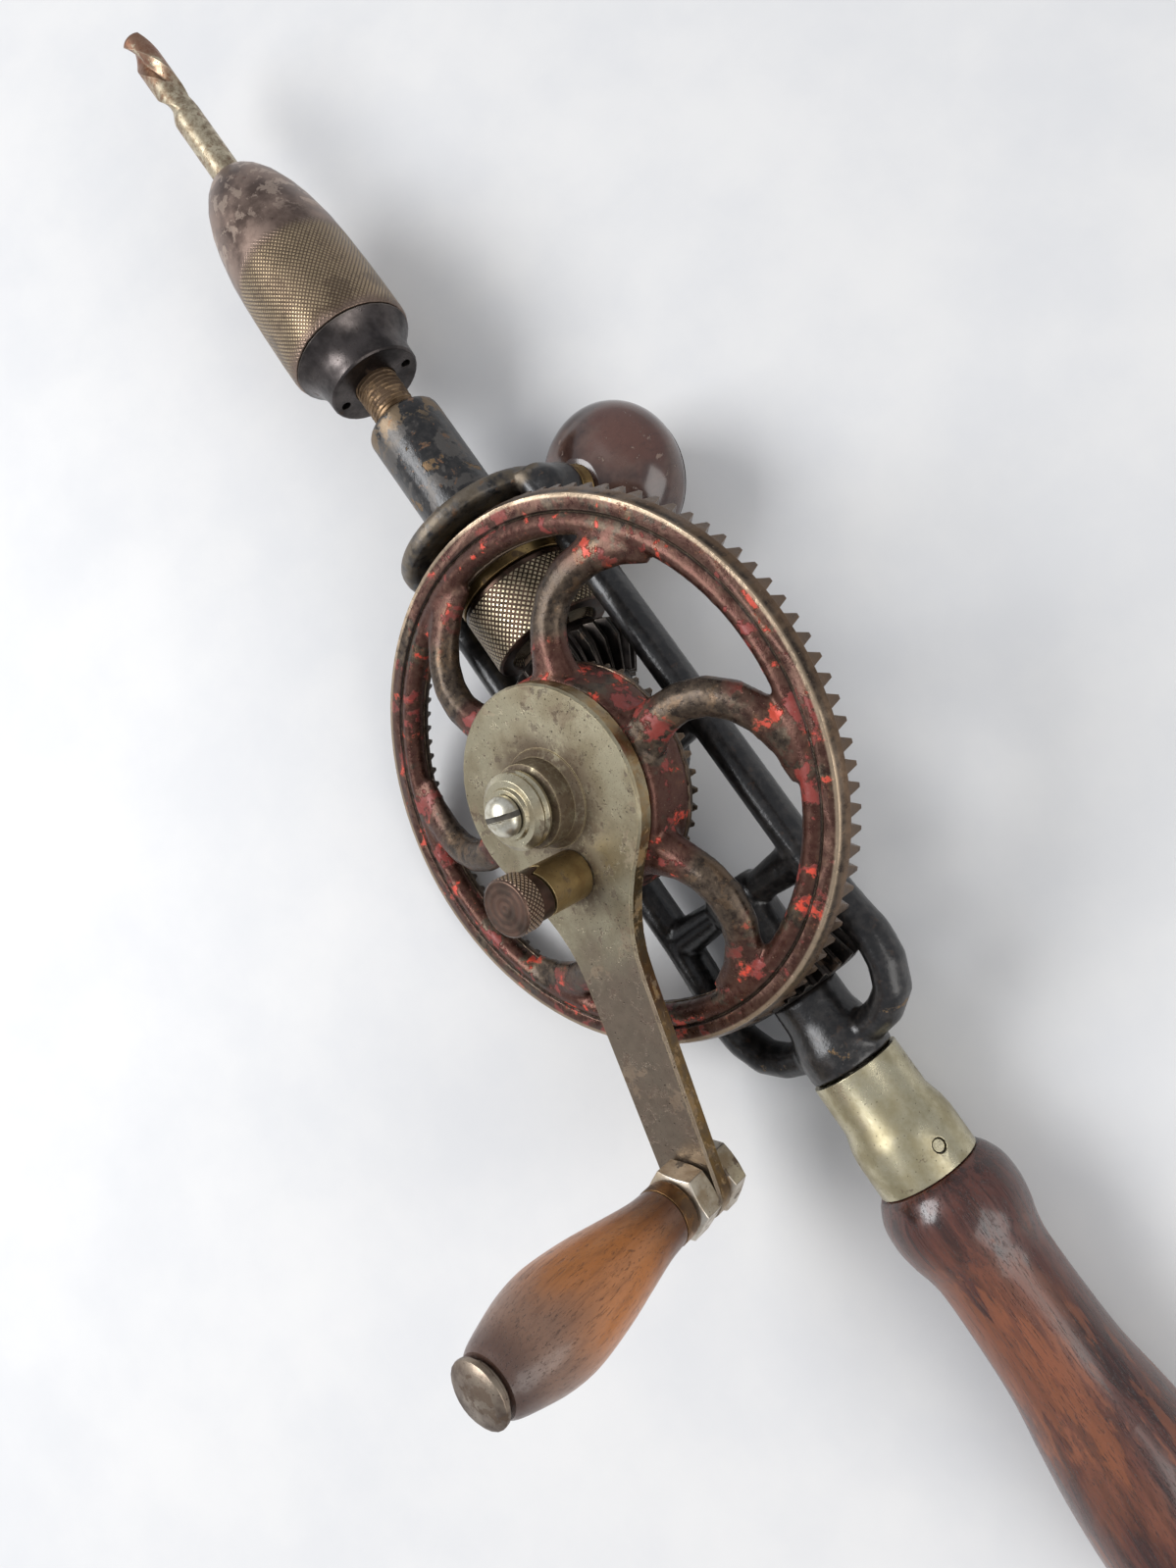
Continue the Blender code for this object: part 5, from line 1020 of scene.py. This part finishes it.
def make_screw():
    """The axle's domed screw head, with its slot."""
    low, high = 1000.0, -1000.0
    for point in points_of("axle_screw", DRILL):
        if hypot(point.x, point.y) > SCREW_SHANK:
            low = min(low, point.z)
        high = max(high, point.z)
    foot = low + SCREW_EDGE
    dome = []
    for step in range(12):
        angle = radians(step * 7.5)
        dome.append((SCREW_HEAD * cos(angle), foot + (high - low - SCREW_EDGE) * sin(angle)))
    profile = [(0.0, low), (SCREW_HEAD, low), *dome, (0.0, high)]
    head = turned_mesh("fine_axle_screw", DRILL, profile, 64)
    bpy.ops.mesh.primitive_cube_add(size=1.0)
    slot = bpy.context.active_object
    turn = Matrix.Rotation(radians(SLOT_TURN), 4, "Z")
    lift = Matrix.Translation(Vector((0.0, 0.0, high + 0.2)) * MM)
    slot.matrix_world = DRILL @ lift @ turn @ Matrix.Diagonal((*SLOT_SIZE, 1.0))
    divide(head, slot, "DIFFERENCE")
    bpy.data.objects.remove(slot)
    return stand_for(rounded(smooth(head, 30), 0.10), "axle_screw", "screw")


BODY_OF = {node: obj["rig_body"] for node, obj in frame["nodes"].items()}
FINISHES = make_finishes()

# Each CAD node, the finish it gets and how far its edges are broken, in millimetres
LOOKS = {
    "ratchet_ring": ("teeth", 0),
    "axle_stud": ("steel", 0.1),
    "axle_collar": ("nickel", 0.1),
    "crank": ("crank", 0.25),
    "selector_housing": ("housing", 0.12),
    "selector_knob": ("selector", 0.2),
    "ratchet_pawl": ("steel", 0),
    "spring_seat": ("steel", 0),
    "grip_bolt": ("hexagon", 0.2),
    "grip_nut": ("hexagon", 0.2),
    "grip_collar": ("collar", 0.15),
    "grip_button": ("button", 0.2),
    "spindle": ("thread", 0.1),
    "shift_key": ("steel", 0),
    "thrust_washer": ("brass", 0.1),
    "clutch_ring": ("brass", 0.25),
    "fast_pinion": ("teeth", 0.12),
    "slow_pinion": ("teeth", 0.12),
    "idler_pinion": ("teeth", 0.12),
    "speed_shifter": ("sleeve", 0.2),
    "idler_pin": ("steel", 0),
    "chuck_body": ("rear", 0.2),
    "chuck_shell": ("chuck", 0.25),
    "chuck_jaw_1": ("steel", 0.1),
    "chuck_jaw_2": ("steel", 0.1),
    "chuck_jaw_3": ("steel", 0.1),
    "handle_ferrule": ("ferrule", 0.15),
    "ferrule_pin": ("ferrule", 0.1),
    "handle_tang": ("steel", 0),
    "side_knob_ferrule": ("brass", 0.15),
    "side_knob_stud": ("steel", 0),
}
for node, (finish, edge) in LOOKS.items():
    fine_copy(node, finish, edge)
make_wheel()
make_casting()
make_thread()
make_bit()
make_screw()
turned_wood("main_handle", SPINDLE, "handle", HANDLE_BORE, WOOD_TOP)
turned_wood("crank_grip", GRIP, "grip", GRIP_BORE)
turned_wood("side_knob", KNOB, "knob", KNOB_BORE)


# Floor, light and camera
FLOOR_SIZE = 6.0  # metres


def make_floor():
    low = CAD_BOX[0]
    bpy.ops.mesh.primitive_grid_add(x_subdivisions=8, y_subdivisions=8, size=FLOOR_SIZE)
    floor = bpy.context.active_object
    floor.name = "floor"
    floor.location.z = low[2]
    f = Finish("pale_floor", Matrix.Identity(4))
    grain = f.noise(f.at, 0.02, 5.0, 0.6)
    colour = f.mix(f.span(grain, 0.3, 0.7), shade(206, 206, 206), shade(214, 213, 211))
    floor.data.materials.append(f.done(colour, 0.55, 0.0))


def make_light(name, place, target, size, power, colour):
    data = bpy.data.lights.new(name, "AREA")
    data.shape = "RECTANGLE"
    data.size, data.size_y = size
    data.energy = power
    data.color = colour
    light = bpy.data.objects.new(name, data)
    bpy.context.scene.collection.objects.link(light)
    light.location = place
    light.rotation_euler = (Vector(target) - Vector(place)).to_track_quat("-Z", "Y").to_euler()


LENS = 25.67
CAMERA_PLACE = (-42.7, -154.5, 190.0)
CAMERA_RIGHT = (-0.559, -0.542, -0.627)
CAMERA_AHEAD = (0.179, 0.659, -0.730)


def make_camera():
    """The photograph's view, found from the wheel's ellipse and the spindle's line."""
    data = bpy.data.cameras.new("camera")
    data.sensor_width = 36.0
    data.lens = LENS
    data.clip_start = 0.01
    camera = bpy.data.objects.new("camera", data)
    bpy.context.scene.collection.objects.link(camera)
    place = Vector(CAMERA_PLACE) * MM
    right = Vector(CAMERA_RIGHT).normalized()
    back = -Vector(CAMERA_AHEAD).normalized()
    up = back.cross(right).normalized()
    right = up.cross(back)
    turn = Matrix((right, up, back)).transposed().to_4x4()
    camera.matrix_world = DRILL @ Matrix.Translation(place) @ turn
    bpy.context.scene.camera = camera


def make_world():
    world = bpy.data.worlds.new("studio")
    world.use_nodes = True
    world.node_tree.nodes["Background"].inputs["Color"].default_value = (0.90, 0.93, 1.0, 1)
    world.node_tree.nodes["Background"].inputs["Strength"].default_value = 0.55
    bpy.context.scene.world = world


make_floor()
make_world()
make_camera()
make_light("window", (0.5, 0.75, 0.9), (0, 0, 0), (0.9, 0.6), 16.0, (0.97, 0.98, 1.0))
make_light("fill", (-0.8, -0.5, 0.7), (0, 0, 0), (0.8, 0.8), 6.0, (1.0, 0.98, 0.95))
bpy.context.scene.view_settings.view_transform = "Standard"
